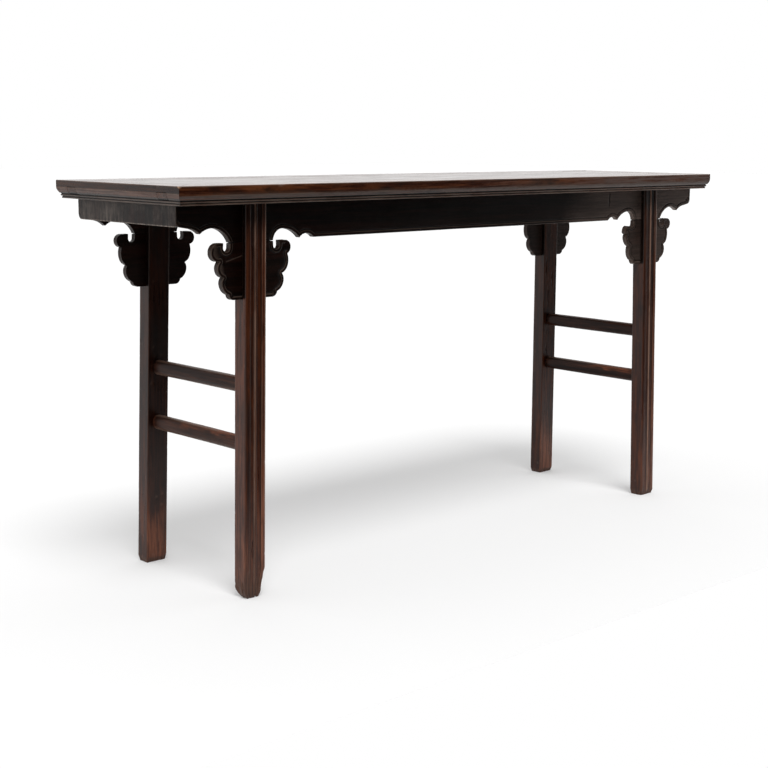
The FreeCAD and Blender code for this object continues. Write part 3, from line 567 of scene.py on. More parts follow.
def board_faces(outline, carved, half, detail):
    """A board's points, faces and marks: its face with the carved border, its plain back and its walls.

    The outline runs in the face's plane as x and z, and depth is measured back from the face. The ends are
    mitred back from half, and detail is points that the face has to have.
    """
    p = np.array(outline)
    if signed_area(p) < 0:
        p = p[::-1]
        carved = [carved[(len(p) - 2 - k) % len(p)] for k in range(len(p))]
    carved = np.array(carved, bool)
    is_plain = not carved.any()
    q = np.roll(p, -1, axis=0)
    run = q - p
    length = np.linalg.norm(run, axis=1)
    inward = np.stack([-run[:, 1], run[:, 0]], axis=1) / length[:, None]
    inward_before = np.roll(inward, 1, axis=0)

    def distance(points, which):
        """Distance from points to the edges of one kind."""
        a, d = p[which], run[which]
        best = np.full(len(points), 9.0)
        if not len(a):
            return best
        for k in range(0, len(points), 400):
            part = points[k : k + 400, None, :] - a[None]
            t = np.clip((part * d).sum(axis=2) / (d * d).sum(axis=1), 0, 1)
            best[k : k + 400] = np.sqrt(((part - t[..., None] * d) ** 2).sum(axis=2)).min(axis=1)
        return best

    def lattice(x_step, z_step):
        """A grid of places over the board."""
        low, high = p.min(axis=0), p.max(axis=0)
        return np.meshgrid(np.arange(low[0], high[0], x_step), np.arange(low[1], high[1], z_step))

    def section(share):
        """The outline at a share of the board's thickness, drawn in where its ends are mitred."""
        limit = half - BOARD_THICKNESS * share
        return np.stack([np.clip(p[:, 0], -limit, limit), p[:, 1]], axis=1)

    inner = []
    # Rings of points at the border's own distances inside the outline.
    for is_carved, reaches in ((True, BORDER[0]), (False, EASED[0])):
        mine = np.nonzero(carved == is_carved)[0]
        long = mine[length[mine] > 3.2 * MM]
        for reach in reaches[1:]:
            ring = [p[mine] + inward[mine] * reach, (p[long] + q[long]) / 2 + inward[long] * reach]
            for k in mine:
                (ax, az), (bx, bz) = inward_before[k], inward[k]
                spread = math.atan2(ax * bz - az * bx, float(inward_before[k] @ inward[k]))
                if spread < -0.25:
                    steps = int(-spread / 0.2) + 1
                    angles = [math.atan2(az, ax) + spread * j / steps for j in range(steps + 1)]
                    ring += [p[k : k + 1] + reach * np.array([[math.cos(a), math.sin(a)]]) for a in angles]
            ring = np.vstack(ring)
            kept = distance(ring, carved == is_carved) > reach - 0.03 * MM
            inner.append(ring[kept & (distance(ring, carved != is_carved) > 0.25 * MM)])
    x, z = lattice(BOARD_GRID, BOARD_GRID)
    x = x + (np.arange(len(x)) % 2)[:, None] * BOARD_GRID / 2
    grid = np.stack([x.ravel(), z.ravel()], axis=1) + 0.3 * MM
    kept = distance(grid, carved) > BORDER[0, -1] + BOARD_GRID / 2
    inner += [grid[kept & (distance(grid, ~carved) > EASED[0, -1] + 1.5 * MM)], detail]
    inner = np.vstack(inner)
    front, front_faces, front_ring = triangulated(p, inner[within(inner, p)])
    near_carved, near_plain = distance(front, carved), distance(front, ~carved)
    level = np.interp(near_plain, *EASED)
    front_marks = np.zeros((len(front), 3))
    if is_plain:
        mark(front_marks, WORN_AND_HIGHLIGHT, smooth_mm(2.2, 0.4, near_plain))
    else:
        level = level + np.interp(near_carved, *BORDER)
        mark(front_marks, WORN_AND_HIGHLIGHT, smooth_mm(1.6, 0.5, near_carved))
        mark(front_marks, WORN_AND_HIGHLIGHT, 0.75 * smooth_mm(1.2, 0.4, abs(near_carved - 6.6 * MM)))
        mark(front_marks, DIRTY, smooth_mm(1.1, 0.3, abs(near_carved - 8.5 * MM)))
        mark(front_marks, DIRTY, smooth_mm(1.2, 0.4, near_plain))
    # The plain back.
    x, z = lattice(4 * BOARD_GRID, 2 * BOARD_GRID)
    sparse = np.stack([x.ravel(), z.ravel()], axis=1)
    kept = distance(sparse, np.ones(len(p), bool)) > 4 * MM
    sparse = sparse[kept & (abs(sparse[:, 0]) < half - BOARD_THICKNESS - 3 * MM)]
    back, back_faces, back_ring = triangulated(section(1), sparse[within(sparse, p)])
    points = [space(front[:, 0], -level, front[:, 1]), space(back[:, 0], BOARD_THICKNESS, back[:, 1])]
    marks = [front_marks, np.zeros((len(back), 3))]
    faces = [t[::-1] for t in front_faces] + [tuple(k + len(front) for k in t) for t in back_faces]
    # The walls, in rows from the face to the back.
    rows, count, offset = [front_ring], len(p), len(front) + len(back)
    for share in (0.08, 0.3, 0.55, 0.8, 0.94):
        x, z = section(share).T
        points.append(space(x, BOARD_THICKNESS * share, z))
        marks.append(space((0.9 if share < 0.1 else 0.15) * (carved | is_plain), 0, 0))
        rows.append(range(offset, offset + count))
        offset += count
    rows.append([k + len(front) for k in back_ring])
    for upper, lower in zip(rows, rows[1:]):
        for k in range(count):
            j = (k + 1) % count
            faces.append((upper[k], upper[j], lower[j], lower[k]))
    return joined(np.vstack(points), faces, np.vstack(marks))


def near_line(points, start, end):
    """How far points of a board lie from a straight line on its face, given in millimetres."""
    a, d = np.array(start) * MM, (np.array(end) - np.array(start)) * MM
    part = points[:, [0, 2]] - a
    t = np.clip(part @ d / (d @ d), 0, 1)
    return np.linalg.norm(part - t[:, None] * d, axis=1)


def make_board(
    name, outline, carved, turn, origin, seed, haze_and_sheen, half=math.inf, end_sheen=0.0, cracks=(), holes=(), worn=()
):
    """A board in its place, with its cracks, nail holes and worn places in millimetres of its face."""
    detail = []
    for start, end, _ in cracks:
        a, d = np.array(start), np.array(end) - np.array(start)
        across = np.array([-d[1], d[0]]) / np.linalg.norm(d)
        for share in np.linspace(-0.02, 1.02, round(np.linalg.norm(d) / 1.5)):
            detail += [(a + d * share + across * shift) * MM for shift in (-1.7, -0.9, -0.3, 0.3, 0.9, 1.7)]
    for x, z, radius in holes:
        for share in (0.35, 0.75, 1.1, 1.5):
            for a in np.linspace(0, math.tau, 12, endpoint=False) + share:
                spot = [x + radius * share * math.cos(a), z + radius * share * math.sin(a)]
                detail.append(np.array(spot) * MM)
    points, faces, marks = board_faces(outline, carved, half, np.array(detail).reshape(-1, 2))
    press = np.zeros(len(points))
    front = points[:, 1] < BOARD_THICKNESS * 0.2
    for start, end, is_pale in cracks:
        away = near_line(points, start, end) + 0.25 * MM * noise(points, 5 * MM, seed)
        line = smooth_mm(1.3, 0.5, away) * front
        press = np.maximum(press, 0.6 * MM * line)
        mark(marks, WORN_AND_HIGHLIGHT if is_pale else DIRTY, (0.7 if is_pale else 1) * line)
    for x, z, radius in holes:
        line = smooth_mm(radius * 1.3, radius * 0.7, near_line(points, (x, z), (x + 0.01, z))) * front
        press = np.maximum(press, 2 * MM * line)
        mark(marks, DIRTY, line)
    for x, z, radius in worn:
        line = smooth_mm(radius, radius * 0.3, near_line(points, (x, z), (x + 0.01, z))) * front
        mark(marks, WORN_AND_HIGHLIGHT, 0.9 * line)
    # Random tone, the board's own painted light, and on the front apron a painted sheen that grows towards
    # the right end.
    tone = 0.15 * noise(points, 90 * MM, seed + 4) + (end_sheen * smooth(0.2, 0.6, points[:, 0]) + haze_and_sheen)
    # The sawn walls are greyer than the face, and also carry a painted sheen of the light that falls on them.
    tone = tone + 0.22 * smooth(0.15, 0.2, points[:, 1] / BOARD_THICKNESS)
    along, scale = "x", (1, 1, 1)
    if turn % 180:
        # An end board's grain stands upright. Its face is painted with streaks of wear and sheen, and a
        # painted highlight along its lower arris.
        along, scale = "z", (2.2, 0.72, 0.72)
        wear_and_sheen = 0.36 + 0.12 * noise(points, 40 * MM, seed)
        wear_and_sheen = wear_and_sheen + 1.2 * smooth_mm(2.3, 1.1, points[:, 2] - points[:, 2].min())
        mark(marks, BARE_AND_SHEEN, wear_and_sheen * front)
    points = turned(points, turn, origin)
    make_piece(name, points, faces, "board_wood", along, marks, seed, press, tone, scale)


def scroll(shares, run, side):
    """One cloud scroll of a long apron's lower edge, from its neck away from the leg."""

    def place(along, down):
        return SCROLL_X + side * (NECK_HALF_WIDTH + (run - NECK_HALF_WIDTH) * along), -APRON_DEPTH * down

    return [tuple(place(*spot) for spot in row) for row in shares]


def rounded_end(x):
    """The steps round the lower corner of an apron that ends at the given place."""
    lift = END_CORNER_ROUND * QUARTER
    middle, end = (x - lift, -END_DEPTH + lift), (x, -END_DEPTH + END_CORNER_ROUND)
    return [((x - END_CORNER_ROUND, -END_DEPTH),), (middle, end)]


def apron_outline():
    """A long apron's outline from the middle of its lower edge, and which of its edges are carved."""
    inner_neck, outer_neck = [(SCROLL_X + side * NECK_HALF_WIDTH, -NECK_DROP) for side in (-1, 1)]
    inner = scroll(INNER_SCROLL_SHARES, INNER_SCROLL_RUN, -1)
    outer = scroll(OUTER_SCROLL_SHARES, OUTER_SCROLL_RUN, 1)
    half, flags = shaped(
        ((0, -APRON_DEPTH), [(inner[-1][-1],)] + backwards(inner_neck, inner), 2.2 * MM, True),
        (inner_neck, [(outer_neck,)], 6 * MM, False),
        (outer_neck, outer + rounded_end(END_X), 2.2 * MM, True),
        (None, [((END_X, 0),), ((0, 0),)], 9 * MM, False),
    )
    return mirrored(half), flags + flags[::-1]


def spandrel_outline(left_shares, right_shares, left_ear, left_gap):
    """A spandrel's outline from the left end of its seam, and which of its edges are carved."""

    def down_side(side, gap, ear, lobes):
        """The steps down one side: round the gap beside the neck, over the ear and round the lobes."""
        rows = [gap[:1], gap[1:], *ear, *lobes]
        return [tuple((side * SPANDREL_REACH * a, -SPANDREL_HEIGHT * d) for a, d in row) for row in rows]

    seam = NECK_HALF_WIDTH - SEAM_GAP_RUN
    start, end = (-NECK_HALF_WIDTH, -SEAM_GAP), (NECK_HALF_WIDTH, -SEAM_GAP)
    left = trace(start, down_side(-1, left_gap, left_ear, left_shares), 1.6 * MM)[::-1]
    points, flags = shaped(
        (start, [((-seam, 0),), ((seam, 0),), (end,)], 6 * MM, False),
        (None, down_side(1, GAP_SHARES, WHOLE_EAR_SHARES, right_shares), 1.6 * MM, True),
        (None, [(left[0],)], 5 * MM, True),
    )
    return points + left[1:-1], flags + [True] * (len(left) - 1)


def leg_profile(cut):
    """Closed profile of a leg, its face towards -Y; cut keeps the cheek in front of or behind the slot."""
    half, bead = LEG_WIDTH / 2, BEAD_WIDTH / 2
    field, band = LEG_FACE + FIELD_RECESS, half - BAND_WIDTH
    turn = CORNER_ROUND * QUARTER
    left_face = [
        ((-half, LEG_FACE + CORNER_ROUND),),
        ((-half + turn, LEG_FACE + turn), (-half + CORNER_ROUND, LEG_FACE)),
        ((-band - 1.2 * MM, LEG_FACE + 0.05 * MM),),
        ((-band, LEG_FACE + 0.25 * MM),),
        ((-band + FLANK_RUN, field),),
        ((-bead - 0.9 * MM, field),),
        ((-bead, field + 0.35 * MM),),
    ]
    front_half = [((-half, -SLOT_HALF),), *left_face, ((0, LEG_FACE - BEAD_RISE), (bead, field + 0.35 * MM))]
    front_half += backwards((half, -SLOT_HALF), flipped(left_face))
    turn = BACK_ROUND * QUARTER
    right_back = [
        ((half, LEG_BACK - BACK_ROUND),),
        ((half - turn, LEG_BACK - turn), (half - BACK_ROUND, LEG_BACK)),
    ]
    back_half = [((half, SLOT_HALF),), *right_back, ((-half + BACK_ROUND, LEG_BACK),)]
    back_half += backwards((-half, SLOT_HALF), flipped(right_back))
    start = (-half, SLOT_HALF) if cut == "back" else (half, -SLOT_HALF)
    steps = {"front": front_half, "back": back_half, "": back_half + front_half}[cut]
    return np.array(trace(start, steps, 1.3 * MM)[:-1])


# The wear of a foot's inner, outer, front and rear side: its depth and height in millimetres, and its curve.
EVEN_FOOT = ((2.5, 12, 1.3), (2.5, 12, 1.3), (2, 12, 1.3), (2, 12, 1.3))
WORN_FOOT = ((14, 72, 1.25), (8, 22, 1.5), (3, 16, 1.2), (10, 26, 1.4))
# Cracks in the legs: the side, the place across it, the two ends' heights and the width, in millimetres.
LEG_CRACKS = {
    (-1, -1): (("face", -8.6, 86, 126, 1.6), ("side", -7, 8, 38, 1.8)),
    (1, 1): (
        ("rear", -7.7, 537, 580, 1.5),
        ("rear", 8.2, 491, 540, 1.3),
        ("rear", 17, 572, 621, 1.2),
        ("rear", 11, 403, 425, 1.6),
        ("rear", 12, 350, 374, 1.6),
    ),
}
# The face of a left and a right leg: its painted light, and its pale line's place in millimetres, strength
# and reach; the line is wear and painted highlight.
LEG_FACES = {-1: (-0.25, -3.5, 1.4, 2.0 * MM), 1: (0.15, -1.6, 2.0, 2.6 * MM)}


def worn_foot(x, y, z, outward, is_worst, seed):
    """A foot with its mouldings faded and its sides drawn in, unevenly: its points, and where it is bare."""
    rough_height = (62 if is_worst else 16) * MM
    place = space(x, y, z)
    uneven = 1 + 0.35 * noise(place, 14 * MM, seed + 3)
    fade = smooth(rough_height * 1.2, rough_height * 0.6, z * uneven)
    flat = LEG_FACE + 0.9 * MM
    moulded = (y < -SLOT_HALF) & ~(abs(x) > LEG_WIDTH / 2 - CORNER_ROUND)
    y = np.where(moulded, y + (flat - y) * fade * 0.85, y)
    middle_y = (LEG_DEPTH - 2 * FRONT_CHEEK - BOARD_THICKNESS) / 2
    along_x, along_y = outward * x / (LEG_WIDTH / 2), (y - middle_y) / (LEG_DEPTH / 2)
    inner, outer, front, rear = [
        depth * MM * np.clip(1 - z * uneven / (height * MM), 0, 1) ** curve
        for depth, height, curve in (WORN_FOOT if is_worst else EVEN_FOOT)
    ]
    x = x + outward * (inner * smooth(0.1, -1.0, along_x) - outer * smooth(-0.1, 1.0, along_x))
    y = y + front * smooth(0.1, -1.0, along_y) - rear * smooth(-0.1, 1.0, along_y)
    # Rough and eroded near the floor.
    rough = smooth(rough_height, rough_height * 0.2, z) * (0.9 * noise(place, 7 * MM, seed + 5) - 0.5)
    x = x - np.sign(x) * abs(rough) * 0.9 * MM
    y = y - np.sign(y - middle_y) * abs(rough) * 0.7 * MM
    lift = np.clip(0.25 + noise(place * [1, 1, 0], 9 * MM, seed + 6), 0, 1) * rough_height * 0.05
    z = z + lift * np.clip(1 - z / (40 * MM), 0, 1)
    return x, y, z, 0.95 * smooth(rough_height * 1.25, rough_height * 0.3, z * uneven)


def leg_colours(x, y, z, x_side, y_side, cut, seed):
    """The tone of a leg over the places of its profile, with its painted light, and the pale lines on its
    face, which are wear and painted highlights.
    """
    # Each leg is painted darker as a whole, the back legs most: painted shade.
    shade = (-0.05 if x_side < 0 else -0.45) if y_side < 0 else -0.6
    face_shade, line_at, strength, reach = LEG_FACES[x_side]
    on_face = y < LEG_FACE + 3 * MM
    low_down = smooth_mm(430, 90, z)
    # Painted light on the face: darker at the left of the bead, lighter at the band on its right, and darker
    # under the top; the whole leg is painted lighter low down.
    face_tone = face_shade + 0.5 * smooth_mm(13.5, 15, x)
    face_tone = face_tone + 0.25 * low_down * smooth_mm(-5, -3, x)
    face_tone = face_tone - 0.35 * smooth(STAND - 70 * MM, STAND - 20 * MM, z)
    tone = shade + on_face * face_tone + 0.35 * low_down
    if y_side > 0:
        # The back legs' inner faces are reddish near the floor, and the right one's is paler.
        rear_pale = 0.35 if x_side > 0 else 0.0
        tone = tone + (y > LEG_BACK - 1 * MM) * (rear_pale + 0.6 * smooth_mm(170, 70, z))
    if cut:
        # A cheek's flank beside the boards is painted dark: painted shade in the corner.
        tone = tone - 1.2 * (abs(x) > LEG_WIDTH / 2 - 0.4 * MM)
    # Pale lines along the bead and the bands, fainter low down: wear and painted highlights.
    lines = strength * smooth(reach, 0.4 * reach, abs(x - line_at * MM))
    lines = lines + 0.4 * smooth_mm(1.5, 0.5, abs(x - 15.4 * MM))
    lines = lines + 1.4 * smooth_mm(2.0, 0.7, abs(x - 23.2 * MM))
    unevenness = 0.85 + 0.25 * noise(space(0, x, z), 60 * MM, seed + 11)
    return tone, lines * on_face * np.clip(unevenness, 0, 1.1) * (1 - 0.5 * low_down)


def leg_cracks(points, outward, cracks, is_worst, seed):
    """The depth and the line of each crack in a leg, and of the nail hole in the worst leg's side."""
    height = points[:, 2] + STAND
    drop = STAND - height
    across = points[:, 0] - outward * FOOT_SPREAD_LONG * drop / STAND
    deep = points[:, 1] + FOOT_SPREAD_DEEP * drop / STAND
    sides = {
        "face": (across, deep < -FRONT_CHEEK),
        "side": (deep, across * outward > LEG_WIDTH / 2 - 4 * MM),
        "rear": (across, deep > LEG_BACK - 2 * MM),
    }
    wander = 0.9 * MM * noise(space(height, 0, 0), 9 * MM, seed + 7)
    for side, place, low, high, width in cracks:
        here, facing = sides[side]
        line = smooth_mm(width, width * 0.35, abs(here - place * MM - wander)) * facing
        line = line * smooth(low - 2, low + 6, height / MM) * smooth(high + 2, high - 6, height / MM)
        yield 1.2 * MM, line
    if is_worst:
        here, facing = sides["side"]
        away = np.hypot(here + 13.8 * MM, height - 557.7 * MM)
        yield 2 * MM, smooth_mm(1.6 * 1.5, 1.6 * 0.6, away) * facing


def make_leg(name, x_side, y_side, seed):
    """A leg in its place: the worn foot, the moulded shaft and the two cheeks beside its slot."""
    is_worst = x_side < 0 and y_side < 0
    turn, outward = (0, x_side) if y_side < 0 else (180, -x_side)
    slot_foot = round(STAND - NECK_DROP - SPANDREL_HEIGHT, 7)
    slot_floor = {}
    parts, all_marks, tones, faces, offset = [], [], [], [], 0
    for cut, low, high in (("", 0.0, slot_foot), ("front", slot_foot, STAND), ("back", slot_foot, STAND)):
        profile = leg_profile(cut)
        levels = np.linspace(low, high, max(2, round((high - low) / (5 * MM))))
        if not cut:
            levels = np.unique(np.round(np.concatenate([levels, np.arange(0, 70, 1.6) * MM]), 7))
        profile_x, profile_y, z = np.broadcast_arrays(*profile.T, levels[:, None])
        x, y = profile_x, profile_y
        marks = edge_wear(profile, 1.5 * MM, len(levels))
        if not cut:
            x, y, z, bare = worn_foot(x, y, z, outward, is_worst, seed)
            mark(marks, BARE_AND_SHEEN, bare.ravel())
        tone, lines = leg_colours(profile_x, profile_y, z, x_side, y_side, cut, seed)
        marks[:, WORN_AND_HIGHLIGHT] *= 0.15
        # The pale lines are kept as wear, and also paint highlights.
        mark(marks, WORN_AND_HIGHLIGHT, lines.ravel())
        drop = STAND - z
        x = x + outward * FOOT_SPREAD_LONG * drop / STAND
        y = y - FOOT_SPREAD_DEEP * drop / STAND
        parts.append(space(x, y, z - STAND).reshape(-1, 3))
        all_marks.append(marks)
        tones.append(tone.ravel())
        around, last = len(profile), (len(levels) - 1) * len(profile)
        faces += [tuple(k + offset for k in f) for f in tube_faces(len(levels), around, capped=False)]
        # The slot's floor runs along the shaft's top ring at both sides and the cheeks' lowest rings.
        if cut:
            faces.append(tuple(range(offset + last, offset + last + around)))
            edge = SLOT_HALF * (-1 if cut == "front" else 1)
            beside = np.nonzero(abs(profile[:, 1] - edge) < 0.01 * MM)[0]
            slot_floor[cut] = [offset + int(k) for k in beside][::-1]
        else:
            faces.append(tuple(range(offset + around - 1, offset - 1, -1)))
            beside = np.nonzero(abs(profile[:, 1]) < SLOT_HALF + 0.01 * MM)[0]
            for side in (-1, 1):
                slot_floor[side] = [offset + last + int(k) for k in beside if profile[k, 0] * side > 0]
        offset += len(levels) * around
    faces.append(tuple(slot_floor[1] + slot_floor["back"] + slot_floor[-1] + slot_floor["front"]))
    points, marks = np.vstack(parts), np.vstack(all_marks)
    press = np.zeros(len(points))
    rng = np.random.default_rng(seed)
    for _ in range(90):
        spot = points[rng.integers(len(points))]
        hollow = dent(points, spot, rng.uniform(2, 6) * MM, rng.uniform(0.1, 0.5) * MM)
        press = np.maximum(press, hollow)
        mark(marks, WORN_AND_HIGHLIGHT, 0.25 * hollow / DEEPEST_KNOCK)
    cracks = LEG_CRACKS.get((x_side, y_side), ())
    for depth, line in leg_cracks(points, outward, cracks, is_worst, seed):
        press = np.maximum(press, depth * line)
        mark(marks, DIRTY, line)
    tone = np.concatenate(tones) + 0.2 * noise(points * [1, 1, 0.25], 30 * MM, seed + 9)
    points, faces, marks, press, tone = joined(points, faces, marks, press, tone)
    points = turned(points, turn, (x_side * LEG_X, y_side * BOARD_MIDDLE, STAND))
    make_piece(name, points, faces, "leg_wood", "z", marks, seed, press, tone)


def make_rung(name, side, height, seed, worn=()):
    """An oval rung between two legs, with its shoulders on their leaning faces."""
    drop = STAND - height
    half_width, half_height, flat = RUNG_WIDTH / 2, RUNG_HEIGHT / 2, RUNG_FLAT / 2
    steps = [
        ((0, -half_height), (half_width, -flat)),
        ((half_width, flat),),
        ((0, half_height), (-half_width, flat)),
        ((-half_width, -flat),),
    ]
    profile = np.array(trace((-half_width, -flat), steps, 1.8 * MM)[:-1])
    inner = BOARD_MIDDLE - LEG_BACK
    stations = np.linspace(-1, 1, 72)
    reach = inner + FOOT_SPREAD_DEEP * (drop - profile[:, 1]) / STAND + 0.3 * MM
    y = stations[:, None] * reach[None, :]
    x = profile[:, 0] + 0.6 * MM * noise(space(0, y, 0), 120 * MM, seed)
    points = space(x, y, profile[:, 1]).reshape(-1, 3)
    marks = np.zeros((len(points), 3))
    level = points[:, 2] / half_height
    # A pale line along the top: wear and painted highlight. The left rungs are also worn on their underside.
    marks[:, WORN_AND_HIGHLIGHT] = 0.5 * smooth(0.8, 0.95, level) + (0.3 * smooth(-0.3, -0.8, level) if side < 0 else 0)
    # Dirt where the shoulders meet the legs.
    marks[:, DIRTY] = smooth_mm(2.5, 0.4, inner + FOOT_SPREAD_DEEP * drop / STAND - abs(points[:, 1]))
    press = 0.3 * MM * smooth(0.35, 1.0, level) * (0.5 + 0.5 * noise(points, 50 * MM, seed + 2)) - 0.25 * MM
    # Painted light: darker below the top, lighter along the underside, and on the right rungs darker
    # underneath again.
    tone = 0.1 - 0.5 * smooth(0.95, 0.7, level) + 0.25 * noise(points * [1, 0.3, 1], 12 * MM, seed + 7)
    tone = tone + 0.35 * smooth(-0.2, -0.8, level)
    if side > 0:
        tone = tone - 0.35 * smooth(0.2, -0.3, level)
    for where, run, low, amount in worn:
        ragged = 0.35 * noise(points * [1, 0.35, 1], 9 * MM, seed + 5)
        patch = smooth_mm(run, run * 0.3, abs(points[:, 1] - where * MM))
        patch = patch * smooth(low - 0.3, low + 0.4, level + ragged)
        mark(marks, BARE_AND_SHEEN, amount * patch)
        press = press + 0.3 * MM * patch
    points = points + np.array([side * (LEG_X + FOOT_SPREAD_LONG * drop / STAND), 0, height])
    faces = tube_faces(len(stations), len(profile))
    make_piece(name, points, faces, "rung_wood", "y", marks, seed, press, tone)


def polygon(corners, step_size):
    """A closed profile through its corners, as points about a step apart."""
    return np.array(trace(corners[-1], [(corner,) for corner in corners], step_size)[:-1])


def make_panel_board(name, side, seed):
    """One board of the floating panel, with a slight wave from its seasons."""
    near, far, half = 0.12 * MM, OPENING_Y - 0.4 * MM, OPENING_X - 0.4 * MM
    top, foot, arris = HEIGHT, PANEL_FOOT, 0.5 * MM
    corners = [(far - arris, top), (far, top - arris), (far, foot), (near, foot)]
    profile = polygon(corners + [(near, top - arris), (near + arris, top)], 5 * MM)
    stations = spaced(half, 20 * MM, 2 * MM, 9 * MM)
    points = space(stations[:, None], *profile.T).reshape(-1, 3)
    marks = edge_wear(profile, 1.2 * MM, len(stations))
    for away in (points[:, 1] - near, far - points[:, 1], half - abs(points[:, 0])):
        mark(marks, DIRTY, smooth_mm(0.9, 0.1, away))
    upper = points[:, 2] > top - 0.1 * MM
    press = np.where(upper, 0.1 * MM * (1 + noise(points * [0.3, 1, 1], 70 * MM, seed + 8)) / 2, 0)
    points, faces = turned(points, 0 if side > 0 else 180, 0), tube_faces(len(stations), len(profile))
    make_piece(name, points, faces, "top_panel_wood", "x", marks, seed, press)


def make_batten(name, seed):
    """A batten under the panel, with eased edges."""
    low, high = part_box(name)
    foot, top, ease = low.z, PANEL_FOOT, 1.5 * MM
    # The dovetail's flare is hidden in the panel, so the bar is drawn from its own width.
    half = min((high.x - low.x) / 2, 14 * MM)
    corners = [(half, foot + ease), (half, top), (-half, top), (-half, foot + ease)]
    profile = polygon(corners + [(-half + ease, foot), (half - ease, foot)], 3 * MM)
    stations = np.linspace(-OPENING_Y, OPENING_Y, 50)
    points = space(profile[:, 0] + (low.x + high.x) / 2, stations[:, None], profile[:, 1]).reshape(-1, 3)
    marks = edge_wear(profile, 1.2 * MM, len(stations))
    make_piece(name, points, tube_faces(len(stations), len(profile)), "batten_wood", "y", marks, seed)


def feed(tree, node, inputs):
    """Links each of a node's inputs that is given a socket, and sets those that are given a value."""
    for place, item in dict(inputs).items():
        if isinstance(item, bpy.types.NodeSocket):
            tree.links.new(item, node.inputs[place])
        else:
            node.inputs[place].default_value = item


def add_node(tree, kind, inputs=(), **settings):
    """A new node of one kind, with its settings and its inputs."""
    node = tree.nodes.new(f"ShaderNode{kind}")
    for title, setting in settings.items():
        setattr(node, title, setting)
    feed(tree, node, inputs)
    return node


# The places of a mix node's colour sockets among its sockets.
COLOUR_A, COLOUR_B, COLOUR_OUT = 6, 7, 2


def srgb(text):
    """A colour written as six hexadecimal digits, in linear light."""
    parts = [int(text[k : k + 2], 16) / 255 for k in (0, 2, 4)]
    return *(c / 12.92 if c <= 0.04045 else ((c + 0.055) / 1.055) ** 2.4 for c in parts), 1


def halved(colour):
    """The same colour at half its light."""
    return *(0.5 * k for k in colour[:3]), 1


